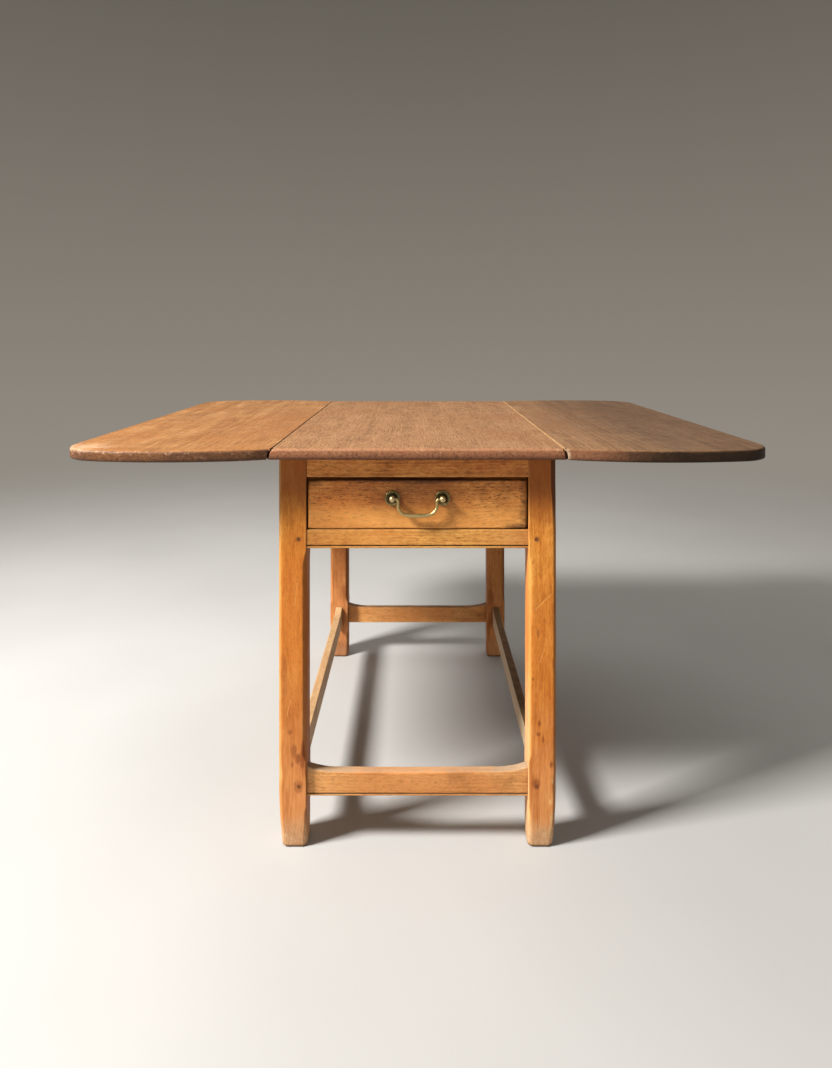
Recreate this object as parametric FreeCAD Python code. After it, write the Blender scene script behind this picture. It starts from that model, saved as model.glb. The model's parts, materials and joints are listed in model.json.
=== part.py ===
import FreeCAD, Part
import math
import os

# Pembroke table: a joined frame with box stretchers, one drawer, a fixed
# centre top and two drop leaves on rule joints, held up by fly brackets.
# Millimetres. +X right, +Y to the back, +Z up, origin on the floor under
# the middle of the table. The drawer faces -Y.

os.makedirs("parts", exist_ok=True)
V = FreeCAD.Vector

# ---------------------------------------------------------------- dimensions
TABLE_H = 715.0            # floor to top surface
TOP_T = 20.0               # thickness of the three top boards
TOP_HALF_D = 445.0         # half depth of the centre top
JOINT_X = 251.0            # joint line of the rule joint at the surface
RULE_STEP = 4.0            # square step above the ovolo
OVOLO_R = 12.5             # round on the centre top
HOLLOW_R = 12.9            # hollow in the leaf
LEAF_GAP = 0.4             # gap at the joint line
LEAF_OUT = 617.5           # outer edge of the leaf
LEAF_BOW = 28.0            # how far the leaf ends bow out
LEAF_CORNER_R = 74.0       # outer corners of the leaf
ARRIS_TOP = 3.2            # rounding of the upper edges
ARRIS_BOT = 3.6            # rounding of the lower edges

LEG_IN_X, LEG_OUT_X = 196.5, 246.8
LEG_IN_Y, LEG_OUT_Y = 356.0, 405.0
LEG_CORNER = 5.0           # chamfer on the outer corner
LEG_STOP = 3.9             # depth of the stopped chamfers
LEG_STOP_LOW = 2.4         # the same below the stretchers
FOOT_TAPER_X = 6.0         # taper of the outer faces towards the floor
FOOT_TAPER_Y = 3.0
FOOT_TAPER_H = 120.0

RAIL_BOT = 531.0           # underside of the aprons
RAIL_TOP = TABLE_H - TOP_T
DRAWER_RAIL_TOP = 565.0
TOP_RAIL_BOT = 657.0
RAIL_FACE = 403.5          # outer face of the front and rear rails

SIDE_RAIL_X0, SIDE_RAIL_X1 = 200.2, 222.2
BLOCK_X1 = 244.5

STR_BOT, STR_TOP, STR_END = 87.5, 131.5, 141.0
STR_SWEEP = 56.0

FLY_PIN_X, FLY_PIN_Y = 233.5, 285.0
FLY_PIN_R = 3.0
FLY_R = 10.8               # half thickness and knuckle radius of a bracket
FLY_SLOT = 11.2            # slot bottom, from the pin
FLY_LEN = 235.0            # pin to tip
FLY_Z0, FLY_Z1 = 605.0, 694.5
FLY_GAP = 0.2              # half the gap between knuckles

DRW_X = 195.3
DRW_SIDE_T = 11.0
DRW_FACE, DRW_BACKFACE = -403.5, -381.5
DRW_Z0, DRW_Z1 = 566.0, 655.5
DRW_SIDE_Z0, DRW_SIDE_Z1 = 565.5, 651.0
DRW_BACK_Y0, DRW_BACK_Y1 = 207.0, 218.0

PULL_X, PULL_Z = 44.5, 621.0
BAIL_Y = -414.5
BAIL_X = 34.0              # the upright legs of the bail
BAIL_Z = 591.5             # its lowest bar
BAIL_R = 2.4
BAIL_MID_R = 3.6

PIN_Z = TABLE_H - RULE_STEP - OVOLO_R      # hinge axis, 698.5
HINGE_YS = (-330.0, 0.0, 330.0)
HINGE_W = 38.0
FLAP_T = 2.0
BARREL_R = 3.4
HPIN_R = 1.75
HBORE_R = 1.80
FIX_FLAP = 34.0
LEAF_FLAP = 54.0

PEG_R = 3.9
PEG_R_LOW = 3.5
PEG_FIT = 0.05
PEG_PROUD = 0.3


# ------------------------------------------------------------------- helpers
def box(x0, x1, y0, y1, z0, z1):
    x0, x1 = sorted((x0, x1))
    y0, y1 = sorted((y0, y1))
    z0, z1 = sorted((z0, z1))
    return Part.makeBox(x1 - x0, y1 - y0, z1 - z0, V(x0, y0, z0))


def cyl(r, p, d, h):
    return Part.makeCylinder(r, h, V(*p), V(*d))


def cone(r0, r1, p, d, h):
    return Part.makeCone(r0, r1, h, V(*p), V(*d))


def mx(s):
    return s.mirror(V(0, 0, 0), V(1, 0, 0))


def my(s):
    return s.mirror(V(0, 0, 0), V(0, 1, 0))


def fuse(shapes):
    s = shapes[0]
    if len(shapes) > 1:
        s = s.fuse(shapes[1:])
        s = s.removeSplitter()
    return one(s)


def one(s):
    return s.Solids[0] if len(s.Solids) == 1 else s


def cut(s, tools):
    for t in tools:
        s = s.cut(t)
    return one(s)


def face2d(start, segs, to3):
    """Closed face from straight runs (p,) and arcs (mid, end)."""
    edges = []
    cur = start
    for s in segs:
        if len(s) == 1:
            edges.append(Part.LineSegment(to3(cur), to3(s[0])).toShape())
            cur = s[0]
        else:
            edges.append(Part.Arc(to3(cur), to3(s[0]), to3(s[1])).toShape())
            cur = s[1]
    if math.hypot(cur[0] - start[0], cur[1] - start[1]) > 1e-6:
        edges.append(Part.LineSegment(to3(cur), to3(start)).toShape())
    return Part.Face(Part.Wire(edges))


def arc_pts(c, r, a0, a1):
    am = 0.5 * (a0 + a1)
    return ((c[0] + r * math.cos(am), c[1] + r * math.sin(am)),
            (c[0] + r * math.cos(a1), c[1] + r * math.sin(a1)))


def round_edges(s, r, test):
    es = [e for e in s.Edges if test(e)]
    return s.makeFillet(r, es)


def flat_at(axis, value, tol=1e-4):
    def test(e):
        for p in (e.valueAt(e.FirstParameter), e.valueAt(e.LastParameter),
                  e.valueAt(0.5 * (e.FirstParameter + e.LastParameter))):
            if abs(getattr(p, axis) - value) > tol:
                return False
        return True
    return test


def along_x_round(y, z, r, sy, sz, half_x):
    """Cutter that rounds an edge running along X; sy, sz point outwards."""
    cy, cz = y - sy * r, z - sz * r
    b = box(-half_x, half_x, cy, y + sy, cz, z + sz)
    c = cyl(r, (-half_x - 1, cy, cz), (1, 0, 0), 2 * half_x + 2)
    return b.cut(c)


def csk_screw(p, d, length, head_r=4.0, head_h=2.0, r=1.9, slot=(1, 0, 0)):
    """Countersunk slotted screw, head face at p, pointing along d."""
    dv = V(*d)
    pv = V(*p)
    s = Part.makeCone(head_r, r, head_h, pv, dv)
    s = s.fuse(Part.makeCylinder(r, length - head_h - 3.0, pv + dv * head_h, dv))
    s = s.fuse(Part.makeCone(r, 0.35, 3.0, pv + dv * (length - 3.0), dv))
    s = s.removeSplitter()
    sv = V(*slot)
    t = dv.cross(sv)
    w = 0.45
    a = pv - sv * 6 - t * w - dv * 1.0
    f = Part.Face(Part.makePolygon([a, a + sv * 12, a + sv * 12 + t * 2 * w,
                                    a + t * 2 * w, a]))
    s = s.cut(f.extrude(dv * 1.9))
    return one(s)


def csk_hole(p, d, head_r=4.05, head_h=2.0, r=1.95, length=4.0):
    dv = V(*d)
    pv = V(*p)
    s = Part.makeCone(head_r + 0.1, r, head_h + 0.1, pv - dv * 0.1, dv)
    return s.fuse(Part.makeCylinder(r, length, pv + dv * 0.5, dv))


def peg(p, d, length, r):
    """Riven peg: round, with a slightly domed end proud of the face."""
    dv = V(*d)
    pv = V(*p)
    s = Part.makeCone(r - 0.5, r, 0.5, pv, dv)
    return one(s.fuse(Part.makeCylinder(r, length - 0.5, pv + dv * 0.5, dv))
               .removeSplitter())


OUT = {}


def put(name, shape):
    OUT[name] = shape


def group(name, shapes):
    OUT[name] = Part.makeCompound(shapes)


# ----------------------------------------------------------------- stretchers
def long_stretcher():
    """Front stretcher: straight bar whose ends sweep up to the legs."""
    L, s = LEG_IN_X, STR_SWEEP
    rise = STR_END - STR_TOP
    rho = (rise * rise + s * s) / (2 * rise)
    cx, cz = L - s, STR_TOP + rho
    am = 0.5 * math.asin(s / rho)
    mid = (cx + rho * math.sin(am), cz - rho * math.cos(am))
    f = face2d((-L, STR_BOT),
               [((L, STR_BOT),), ((L, STR_END),),
                (mid, (cx, STR_TOP)), ((-cx, STR_TOP),),
                ((-mid[0], mid[1]), (-L, STR_END))],
               lambda p: V(p[0], -397.0, p[1]))
    bar = f.extrude(V(0, 18.0, 0))
    bar = round_edges(bar, 3.0, lambda e: flat_at("y", -397.0)(e) and
                      e.CenterOfMass.z > STR_TOP - 1 and e.Length > 20 and
                      abs(e.CenterOfMass.x) < L - 1)
    bar = round_edges(bar, 1.6, lambda e: flat_at("y", -379.0)(e) and
                      e.CenterOfMass.z > STR_TOP - 1 and
                      abs(e.CenterOfMass.x) < L - 1)
    # scratched quirk above a small bead on the lower front edge
    bar = bar.cut(box(-L, L, -398, -396.0, STR_BOT + 4.2, STR_BOT + 5.6))
    bar = bar.cut(along_x_round(-397.0, STR_BOT, 2.0, -1, -1, L))
    tens = [box(s_ * L, s_ * (L + 24.0), -392.5, -383.5, 98, 122)
            for s_ in (-1, 1)]
    return fuse([bar] + tens)


def side_stretcher():
    L, s = LEG_IN_Y, STR_SWEEP
    rise = STR_END - STR_TOP
    rho = (rise * rise + s * s) / (2 * rise)
    cy, cz = L - s, STR_TOP + rho
    am = 0.5 * math.asin(s / rho)
    mid = (cy + rho * math.sin(am), cz - rho * math.cos(am))
    f = face2d((-L, STR_BOT),
               [((L, STR_BOT),), ((L, STR_END),),
                (mid, (cy, STR_TOP)), ((-cy, STR_TOP),),
                ((-mid[0], mid[1]), (-L, STR_END))],
               lambda p: V(213.0, p[0], p[1]))
    bar = f.extrude(V(18.0, 0, 0))
    for x, r in ((213.0, 2.4), (231.0, 2.4)):
        bar = round_edges(bar, r, lambda e, x=x: flat_at("x", x)(e) and
                          e.CenterOfMass.z > STR_TOP - 1 and
                          abs(e.CenterOfMass.y) < L - 1)
    tens = [box(217.5, 226.5, s_ * L, s_ * (L + 22.0), 98, 122)
            for s_ in (-1, 1)]
    return fuse([bar] + tens)


str_front = long_stretcher()
str_rear = my(str_front)
str_right = side_stretcher()
str_left = mx(str_right)

# ----------------------------------------------------------------------- rails
# top rail over the drawer: dovetails let down into the leg tops
trail = box(-LEG_IN_X, LEG_IN_X, -RAIL_FACE, -359.5, TOP_RAIL_BOT, RAIL_TOP)
tails = []
for s_ in (-1, 1):
    x0, x1 = s_ * LEG_IN_X, s_ * (LEG_IN_X + 25.0)
    yc = -381.5
    f = Part.Face(Part.makePolygon([V(x0, yc - 9, 669), V(x1, yc - 13, 669),
                                    V(x1, yc + 13, 669), V(x0, yc + 9, 669),
                                    V(x0, yc - 9, 669)]))
    tails.append(f.extrude(V(0, 0, RAIL_TOP - 669)))
front_top_rail = fuse([trail] + tails)

# drawer rail: tenoned, with a quirk and bead along its lower front edge
drail = box(-LEG_IN_X, LEG_IN_X, -RAIL_FACE, -LEG_IN_Y, RAIL_BOT, DRAWER_RAIL_TOP)
drail = drail.cut(box(-LEG_IN_X, LEG_IN_X, -RAIL_FACE - 1, -RAIL_FACE + 1.5,
                      RAIL_BOT + 4.4, RAIL_BOT + 6.0))
drail = drail.cut(along_x_round(-RAIL_FACE, RAIL_BOT, 2.0, -1, -1, LEG_IN_X))
front_drawer_rail = fuse([drail] + [
    box(s_ * LEG_IN_X, s_ * (LEG_IN_X + 28.0), -394, -366, 540, 556)
    for s_ in (-1, 1)])

rear_apron = fuse([box(-LEG_IN_X, LEG_IN_X, 379.5, RAIL_FACE, RAIL_BOT, RAIL_TOP)] + [
    box(s_ * LEG_IN_X, s_ * (LEG_IN_X + 25.0), 386.5, 396.5, 545, 680)
    for s_ in (-1, 1)])

side_rail_r = fuse([box(SIDE_RAIL_X0, SIDE_RAIL_X1, -LEG_IN_Y, LEG_IN_Y,
                        RAIL_BOT, RAIL_TOP)] + [
    box(206, 216, s_ * LEG_IN_Y, s_ * (LEG_IN_Y + 26.0), 562, 660)
    for s_ in (-1, 1)])
side_rail_l = mx(side_rail_r)


# ------------------------------------------------------------------------ pegs
def peg_set(fit):
    """Every peg, with its radius opened by fit for the holes."""
    out = []
    for s_ in (-1, 1):
        y0 = -LEG_OUT_Y - PEG_PROUD
        out.append(peg((s_ * 211, y0, 548), (0, 1, 0), 33.3 + fit, PEG_R + fit))
        out.append(peg((s_ * 211, y0, 110), (0, 1, 0), 29.3 + fit, PEG_R_LOW + fit))
        y1 = LEG_OUT_Y + PEG_PROUD
        for z in (575, 650):
            out.append(peg((s_ * 211, y1, z), (0, -1, 0), 21.3 + fit, PEG_R + fit))
        out.append(peg((s_ * 211, y1, 110), (0, -1, 0), 29.3 + fit, PEG_R_LOW + fit))
        x1 = s_ * (LEG_OUT_X + PEG_PROUD)
        for t_ in (-1, 1):
            for z in (590, 640):
                out.append(peg((x1, t_ * 370, z), (-s_, 0, 0), 42.8 + fit, PEG_R + fit))
            out.append(peg((x1, t_ * 367, 112), (-s_, 0, 0), 30.8 + fit, PEG_R_LOW + fit))
    return out


pegs = peg_set(0.0)
peg_holes = Part.makeCompound(peg_set(PEG_FIT))


# ------------------------------------------------------------------------ legs
def stop_chamfer(edge, n, z0, z1, d, a=16.0):
    """Cutter for a chamfer that runs out in a hollow at both ends."""
    rho = (d * d + a * a) / (2 * d)
    half = 0.5 * math.asin(a / rho)
    mid_n = d - rho + rho * math.cos(half)
    mid_dz = rho * math.sin(half)
    to3 = lambda p: V(edge[0] + n[0] * p[0], edge[1] + n[1] * p[0], p[1])
    f = face2d((-4.0, z0), [((0.0, z0),),
                            ((mid_n, z0 + a - mid_dz), (d, z0 + a)),
                            ((d, z1 - a),),
                            ((mid_n, z1 - a + mid_dz), (0.0, z1)),
                            ((-4.0, z1),)], to3)
    t = V(-n[1], n[0], 0)
    f.translate(t * -14.0)
    return f.extrude(t * 28.0)


def leg_base():
    """Right front leg before its joints are cut."""
    x0, x1, y0, y1 = LEG_IN_X, LEG_OUT_X, -LEG_OUT_Y, -LEG_IN_Y
    leg = box(x0, x1, y0, y1, 0, RAIL_TOP)
    h = FOOT_TAPER_H
    for d, axis in ((FOOT_TAPER_X, "x"), (FOOT_TAPER_Y, "y")):
        rho = (d * d + h * h) / (2 * d)
        am = 0.5 * math.asin(h / rho)
        if axis == "x":
            to3 = lambda p: V(x1 - p[0], y0 - 5, p[1])
            ext = V(0, y1 - y0 + 10, 0)
        else:
            to3 = lambda p: V(x0 - 5, y0 + p[0], p[1])
            ext = V(x1 - x0 + 10, 0, 0)
        f = face2d((0.0, h), [((rho - rho * math.cos(am), h - rho * math.sin(am)), (d, 0.0)),
                              ((d, -2.0),), ((-5.0, -2.0),), ((-5.0, h),)], to3)
        leg = leg.cut(f.extrude(ext))
    leg = leg.makeChamfer(2.5, [e for e in leg.Edges if flat_at("z", 0.0)(e)])

    def tri(cx, cy, c, z):
        pts = [V(cx - c - 2, cy - 2, z), V(cx + 2, cy + c + 2, z), V(cx + 2, cy - 2, z)]
        return Part.makePolygon(pts + [pts[0]])

    c = LEG_CORNER
    low = Part.makeLoft([tri(x1 - FOOT_TAPER_X, y0 + FOOT_TAPER_Y, c, -1.0),
                         tri(x1, y0, c, h)], True, True)
    high = Part.Face(tri(x1, y0, c, h)).extrude(V(0, 0, RAIL_TOP - h + 1))
    leg = leg.cut(low).cut(high)
    q = math.sqrt(0.5)
    for edge, n in (((x0, y0), (q, q)), ((x0, y1), (q, -q)), ((x1, y1), (-q, -q))):
        leg = leg.cut(stop_chamfer(edge, n, 150.0, 522.0, LEG_STOP))
    for edge, n in (((x0, y0), (q, q)), ((x1, y1), (-q, -q)), ((x0, y1), (q, -q))):
        leg = leg.cut(stop_chamfer(edge, n, -30.0, 80.0, LEG_STOP_LOW))
    return one(leg)


base = leg_base()
leg_fl = cut(mx(base), [front_top_rail, front_drawer_rail, side_rail_l,
                        str_front, str_left, peg_holes])
put("leg_front_left", leg_fl)
put("leg_front_right", mx(leg_fl))
leg_rr = cut(my(base), [rear_apron, side_rail_r, str_rear, str_right, peg_holes])
put("leg_rear_right", leg_rr)
put("leg_rear_left", mx(leg_rr))

put("stretcher_front", cut(str_front, [peg_holes]))
put("stretcher_rear", cut(str_rear, [peg_holes]))
put("stretcher_right", cut(str_right, [peg_holes]))
put("stretcher_left", cut(str_left, [peg_holes]))
put("front_drawer_rail", cut(front_drawer_rail, [peg_holes]))
put("rear_apron", cut(rear_apron, [peg_holes]))
group("joint_pegs", pegs)

# ------------------------------------------------------------------ fly rails
knuckle_h = (FLY_Z1 - FLY_Z0) / 5.0
KZ = [FLY_Z0 + i * knuckle_h for i in range(6)]


def fly_block_front():
    """Fixed block at the front right, ending in three wooden knuckles."""
    y0 = -LEG_IN_Y
    yk = -FLY_PIN_Y - FLY_SLOT - 0.1
    parts = [box(SIDE_RAIL_X1, BLOCK_X1, y0, yk, RAIL_BOT, RAIL_TOP),
             box(SIDE_RAIL_X1, BLOCK_X1, y0, -274.0, RAIL_BOT, FLY_Z0 - 0.5)]
    for i in (0, 2, 4):
        z0 = KZ[i] + (FLY_GAP if i else -0.5)
        z1 = KZ[i + 1] - (FLY_GAP if i < 4 else 0.0)
        parts.append(box(FLY_PIN_X - FLY_R, FLY_PIN_X + FLY_R, yk, -FLY_PIN_Y, z0, z1))
        parts.append(cyl(FLY_R, (FLY_PIN_X, -FLY_PIN_Y, z0), (0, 0, 1), z1 - z0))
    s = fuse(parts)
    return one(s.cut(cyl(FLY_PIN_R + 0.02, (FLY_PIN_X, -FLY_PIN_Y, 600.0), (0, 0, 1), 100)))


def fly_bracket():
    """Right front bracket, folded along the side of the frame."""
    z0, z1 = FLY_Z0 + 0.5, FLY_Z1
    a = 65.0
    zt = 665.0
    d = 0.5 * (zt - z0)
    rho = (d * d + a * a) / (2 * d)
    am = 0.5 * math.asin(a / rho)
    m1 = (45.0 + rho * math.sin(am), z0 + rho - rho * math.cos(am))
    m2 = (175.0 - rho * math.sin(am), zt - rho + rho * math.cos(am))
    q = math.sqrt(0.5)
    f = face2d((FLY_SLOT, z0),
               [((45.0, z0),), (m1, (110.0, z0 + d)), (m2, (175.0, zt)),
                ((FLY_LEN - 8.0, zt),),
                ((FLY_LEN - 8 + 8 * q, zt + 8 - 8 * q), (FLY_LEN, zt + 8.0)),
                ((FLY_LEN, z1 - 5.0),),
                ((FLY_LEN - 5 + 5 * q, z1 - 5 + 5 * q), (FLY_LEN - 5.0, z1)),
                ((FLY_SLOT, z1),)],
               lambda p: V(FLY_PIN_X - FLY_R, -FLY_PIN_Y + p[0], p[1]))
    plate = f.extrude(V(2 * FLY_R, 0, 0))
    # finger chamfer on the outer lower edge near the tip
    parts = [plate]
    for i in (1, 3):
        k0, k1 = KZ[i] + FLY_GAP, KZ[i + 1] - FLY_GAP
        parts.append(box(FLY_PIN_X - FLY_R, FLY_PIN_X + FLY_R,
                         -FLY_PIN_Y, -FLY_PIN_Y + FLY_SLOT, k0, k1))
        parts.append(cyl(FLY_R, (FLY_PIN_X, -FLY_PIN_Y, k0), (0, 0, 1), k1 - k0))
    s = fuse(parts)
    return one(s.cut(cyl(FLY_PIN_R + 0.05, (FLY_PIN_X, -FLY_PIN_Y, 600.0), (0, 0, 1), 100)))


screw_at = {"front": ((-338.0, 612.0), (-314.0, 645.0)),
            "centre": ((-28.0, 612.0), (28.0, 645.0)),
            "rear": ((338.0, 612.0), (314.0, 645.0))}
block_screws, block_holes = [], []
for spots in screw_at.values():
    for y, z in spots:
        block_screws.append(csk_screw((SIDE_RAIL_X0 + 0.2, y, z), (1, 0, 0), 36.0,
                                      slot=(0, 1, 0)))
        block_holes.append(csk_hole((SIDE_RAIL_X0 + 0.2, y, z), (1, 0, 0), r=2.0,
                                    length=36.5))
block_hole_r = Part.makeCompound(block_holes)
blk_front = fly_block_front()
blk_centre = box(SIDE_RAIL_X1, BLOCK_X1, -47.0, 47.0, RAIL_BOT, RAIL_TOP)
blk = {"front": blk_front, "centre": blk_centre, "rear": my(blk_front)}
for k, s in blk.items():
    s = cut(s, [block_hole_r])
    put("fly_block_right_" + k, s)
    put("fly_block_left_" + k, mx(s))
put("side_rail_right", cut(side_rail_r, [peg_holes, block_hole_r]))
put("side_rail_left", mx(OUT["side_rail_right"]))
group("fly_block_screws", block_screws + [mx(s) for s in block_screws])

brk = fly_bracket()
put("fly_bracket_right_front", brk)
put("fly_bracket_right_rear", my(brk))
put("fly_bracket_left_front", mx(brk))
put("fly_bracket_left_rear", mx(my(brk)))
group("fly_pins", [cyl(FLY_PIN_R, (s_ * FLY_PIN_X, t_ * FLY_PIN_Y, 600.0), (0, 0, 1), 94.5)
                   for s_ in (-1, 1) for t_ in (-1, 1)])

# ------------------------------------------------------- drawer carcass pieces
top_screws, top_holes = [], []
for s_ in (-1, 1):
    spots = [(s_ * 184.0, y) for y in (-250.0, 0.0, 250.0)] + [(s_ * 100.0, -381.0)]
    for x, y in spots:
        top_screws.append(csk_screw((x, y, 666.0), (0, 0, 1), 42.0, head_r=4.6,
                                    head_h=2.6, r=2.3))
        top_holes.append(csk_hole((x, y, 666.0), (0, 0, 1), head_r=4.65, head_h=2.6,
                                  r=2.4, length=42.5)
                         .fuse(cyl(5.4, (x, y, 650.0), (0, 0, 1), 16.0)))
top_hole_set = Part.makeCompound(top_holes)
group("top_screws", top_screws)
put("front_top_rail", cut(front_top_rail, [top_hole_set]))

runner = box(172.0, SIDE_RAIL_X0, -LEG_IN_Y, LEG_IN_Y, RAIL_BOT, DRAWER_RAIL_TOP)
guide = box(LEG_IN_X, SIDE_RAIL_X0, -LEG_IN_Y, LEG_IN_Y, DRAWER_RAIL_TOP, 590.0)
kicker = cut(box(172.0, SIDE_RAIL_X0, -LEG_IN_Y, LEG_IN_Y, TOP_RAIL_BOT + 1.0, RAIL_TOP),
             [top_hole_set])
for nm, s in (("drawer_runner", runner), ("drawer_guide", guide), ("kicker", kicker)):
    put(nm + "_right", s)
    put(nm + "_left", mx(s))
group("drawer_stops", [box(s_ * 100.0, s_ * 140.0, DRW_BACKFACE + 0.3, -366.0,
                           DRAWER_RAIL_TOP, DRAWER_RAIL_TOP + 4.5) for s_ in (-1, 1)])

# -------------------------------------------------------------------- top boards
zb = TABLE_H - TOP_T
xb = JOINT_X + math.sqrt(OVOLO_R ** 2 - (PIN_Z - zb) ** 2)
a0 = -math.asin((PIN_Z - zb) / OVOLO_R)
mid, end = arc_pts((JOINT_X, PIN_Z), OVOLO_R, a0, math.pi / 2)
midl = (-mid[0], mid[1])
f = face2d((-xb, zb), [((xb, zb),), (mid, end), ((JOINT_X, TABLE_H),),
                       ((-JOINT_X, TABLE_H),), ((-JOINT_X, end[1]),), (midl, (-xb, zb))],
           lambda p: V(p[0], -TOP_HALF_D, p[1]))
centre_top = f.extrude(V(0, 2 * TOP_HALF_D, 0))
for s_ in (-1, 1):
    centre_top = centre_top.cut(along_x_round(s_ * TOP_HALF_D, TABLE_H, ARRIS_TOP + 0.4, s_, 1, 300))
    centre_top = centre_top.cut(along_x_round(s_ * TOP_HALF_D, zb, ARRIS_BOT, s_, -1, 300))


def leaf_blank():
    """Right leaf: bowed ends, rounded outer corners, eased edges."""
    x0, x1, yd = JOINT_X + LEAF_GAP, LEAF_OUT, TOP_HALF_D
    xm, half = 0.5 * (x0 + x1), 0.5 * (x1 - x0)
    rb = (half ** 2 + LEAF_BOW ** 2) / (2 * LEAF_BOW)
    cyb = -(yd + LEAF_BOW) + rb                      # centre of the front bow
    r = LEAF_CORNER_R
    cx = x1 - r
    cy = cyb - math.sqrt((rb - r) ** 2 - (cx - xm) ** 2)
    ux, uy = (cx - xm) / (rb - r), (cy - cyb) / (rb - r)
    tx, ty = xm + rb * ux, cyb + rb * uy
    a_t = math.atan2(uy, ux)
    cm = (cx + r * math.cos(0.5 * a_t), cy + r * math.sin(0.5 * a_t))
    a_s = math.atan2(-yd - cyb, x0 - xm)
    am = 0.5 * (a_s + a_t)
    bm = (xm + rb * math.cos(am), cyb + rb * math.sin(am))
    f = face2d((x0, -yd), [(bm, (tx, ty)), (cm, (x1, cy)), ((x1, -cy),),
                           ((cm[0], -cm[1]), (tx, -ty)), ((bm[0], -bm[1]), (x0, yd)),
                           ((x0, -yd),)],
               lambda p: V(p[0], p[1], zb))
    s = f.extrude(V(0, 0, TOP_T))
    inner = lambda e: abs(e.CenterOfMass.x - x0) < 1e-3
    s = round_edges(s, ARRIS_TOP, lambda e: flat_at("z", TABLE_H)(e) and not inner(e))
    s = round_edges(s, ARRIS_BOT, lambda e: flat_at("z", zb)(e) and not inner(e))
    s = s.cut(cyl(HOLLOW_R, (JOINT_X, -600, PIN_Z), (0, 1, 0), 1200))
    s = s.cut(box(JOINT_X - 5, JOINT_X + HOLLOW_R, -600, 600, zb - 5, PIN_Z))
    return one(s)


leaf = leaf_blank()


# ---------------------------------------------------------------------- hinges
def fixed_flap(y):
    """Flap screwed to the centre top (right side), two outer knuckles."""
    w, x = HINGE_W / 2, JOINT_X
    zf = zb
    fy = 7.0
    parts = [box(x - FIX_FLAP, x - 5.0, y - w, y + w, zf, zf + FLAP_T)]
    for a, b in ((-w, -fy), (fy, w)):
        parts.append(box(x - 5.0, x, y + a, y + b, zf + 0.1, zf + FLAP_T))
        parts.append(cyl(BARREL_R, (x, y + a, PIN_Z), (0, 1, 0), b - a))
    s = fuse(parts)
    s = s.cut(cyl(HBORE_R, (x, y - w - 1, PIN_Z), (0, 1, 0), HINGE_W + 2))
    for yy in (-11.0, 11.0):
        s = s.cut(csk_hole((x - 20.0, y + yy, zf), (0, 0, 1)))
    return one(s)


def leaf_flap(y):
    """Flap screwed to the leaf, with the middle knuckle."""
    w, x = HINGE_W / 2, JOINT_X
    zf = zb
    fy = 6.7
    parts = [box(x + 5.0, x + LEAF_FLAP, y - w, y + w, zf, zf + FLAP_T),
             box(x, x + 5.0, y - fy, y + fy, zf + 0.1, zf + FLAP_T),
             cyl(BARREL_R, (x, y - fy, PIN_Z), (0, 1, 0), 2 * fy)]
    s = fuse(parts)
    s = s.cut(cyl(HBORE_R, (x, y - w - 1, PIN_Z), (0, 1, 0), HINGE_W + 2))
    for dx, yy in ((24.0, -11.0), (24.0, 11.0), (45.0, 0.0)):
        s = s.cut(csk_hole((x + dx, y + yy, zf), (0, 0, 1)))
    return one(s)


fix_r = [fixed_flap(y) for y in HINGE_YS]
lf_r = [leaf_flap(y) for y in HINGE_YS]
hp_r = [cyl(HPIN_R, (JOINT_X, y - HINGE_W / 2, PIN_Z), (0, 1, 0), HINGE_W) for y in HINGE_YS]
fs_r, ls_r, top_rec, leaf_rec = [], [], [], []
for y in HINGE_YS:
    wp = HINGE_W / 2 + 0.2
    for yy in (-11.0, 11.0):
        fs_r.append(csk_screw((JOINT_X - 20.0, y + yy, zb), (0, 0, 1), 14.0, slot=(0, 1, 0)))
        top_rec.append(cyl(2.0, (JOINT_X - 20.0, y + yy, zb), (0, 0, 1), 14.6))
    for dx, yy in ((24.0, -11.0), (24.0, 11.0), (45.0, 0.0)):
        ls_r.append(csk_screw((JOINT_X + dx, y + yy, zb), (0, 0, 1), 14.0, slot=(0, 1, 0)))
        leaf_rec.append(cyl(2.0, (JOINT_X + dx, y + yy, zb), (0, 0, 1), 14.6))
    top_rec.append(box(JOINT_X - FIX_FLAP - 0.2, JOINT_X + 20, y - wp, y + wp, zb - 1,
                       zb + FLAP_T + 0.1))
    top_rec.append(box(JOINT_X - 4.3, JOINT_X + 4.3, y - wp, y + wp, zb - 1, PIN_Z + 4.0))
    leaf_rec.append(box(JOINT_X, JOINT_X + LEAF_FLAP + 0.6, y - wp, y + wp, zb - 1,
                        zb + FLAP_T + 0.1))
rec_r = Part.makeCompound(top_rec)
for t in top_rec:
    centre_top = centre_top.cut(t).cut(mx(t))
centre_top = cut(centre_top, [top_hole_set])
for t in leaf_rec:
    leaf = leaf.cut(t)
leaf = one(leaf)
put("centre_top", centre_top)
put("leaf_right", leaf)
put("leaf_left", mx(leaf))
group("hinge_flaps_fixed_right", fix_r)
group("hinge_flaps_fixed_left", [mx(s) for s in fix_r])
group("hinge_flaps_leaf_right", lf_r)
group("hinge_flaps_leaf_left", [mx(s) for s in lf_r])
group("hinge_pins", hp_r + [mx(s) for s in hp_r])
group("hinge_screws_fixed", fs_r + [mx(s) for s in fs_r])
group("leaf_right_hinge_screws", ls_r)
group("leaf_left_hinge_screws", [mx(s) for s in ls_r])


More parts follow.
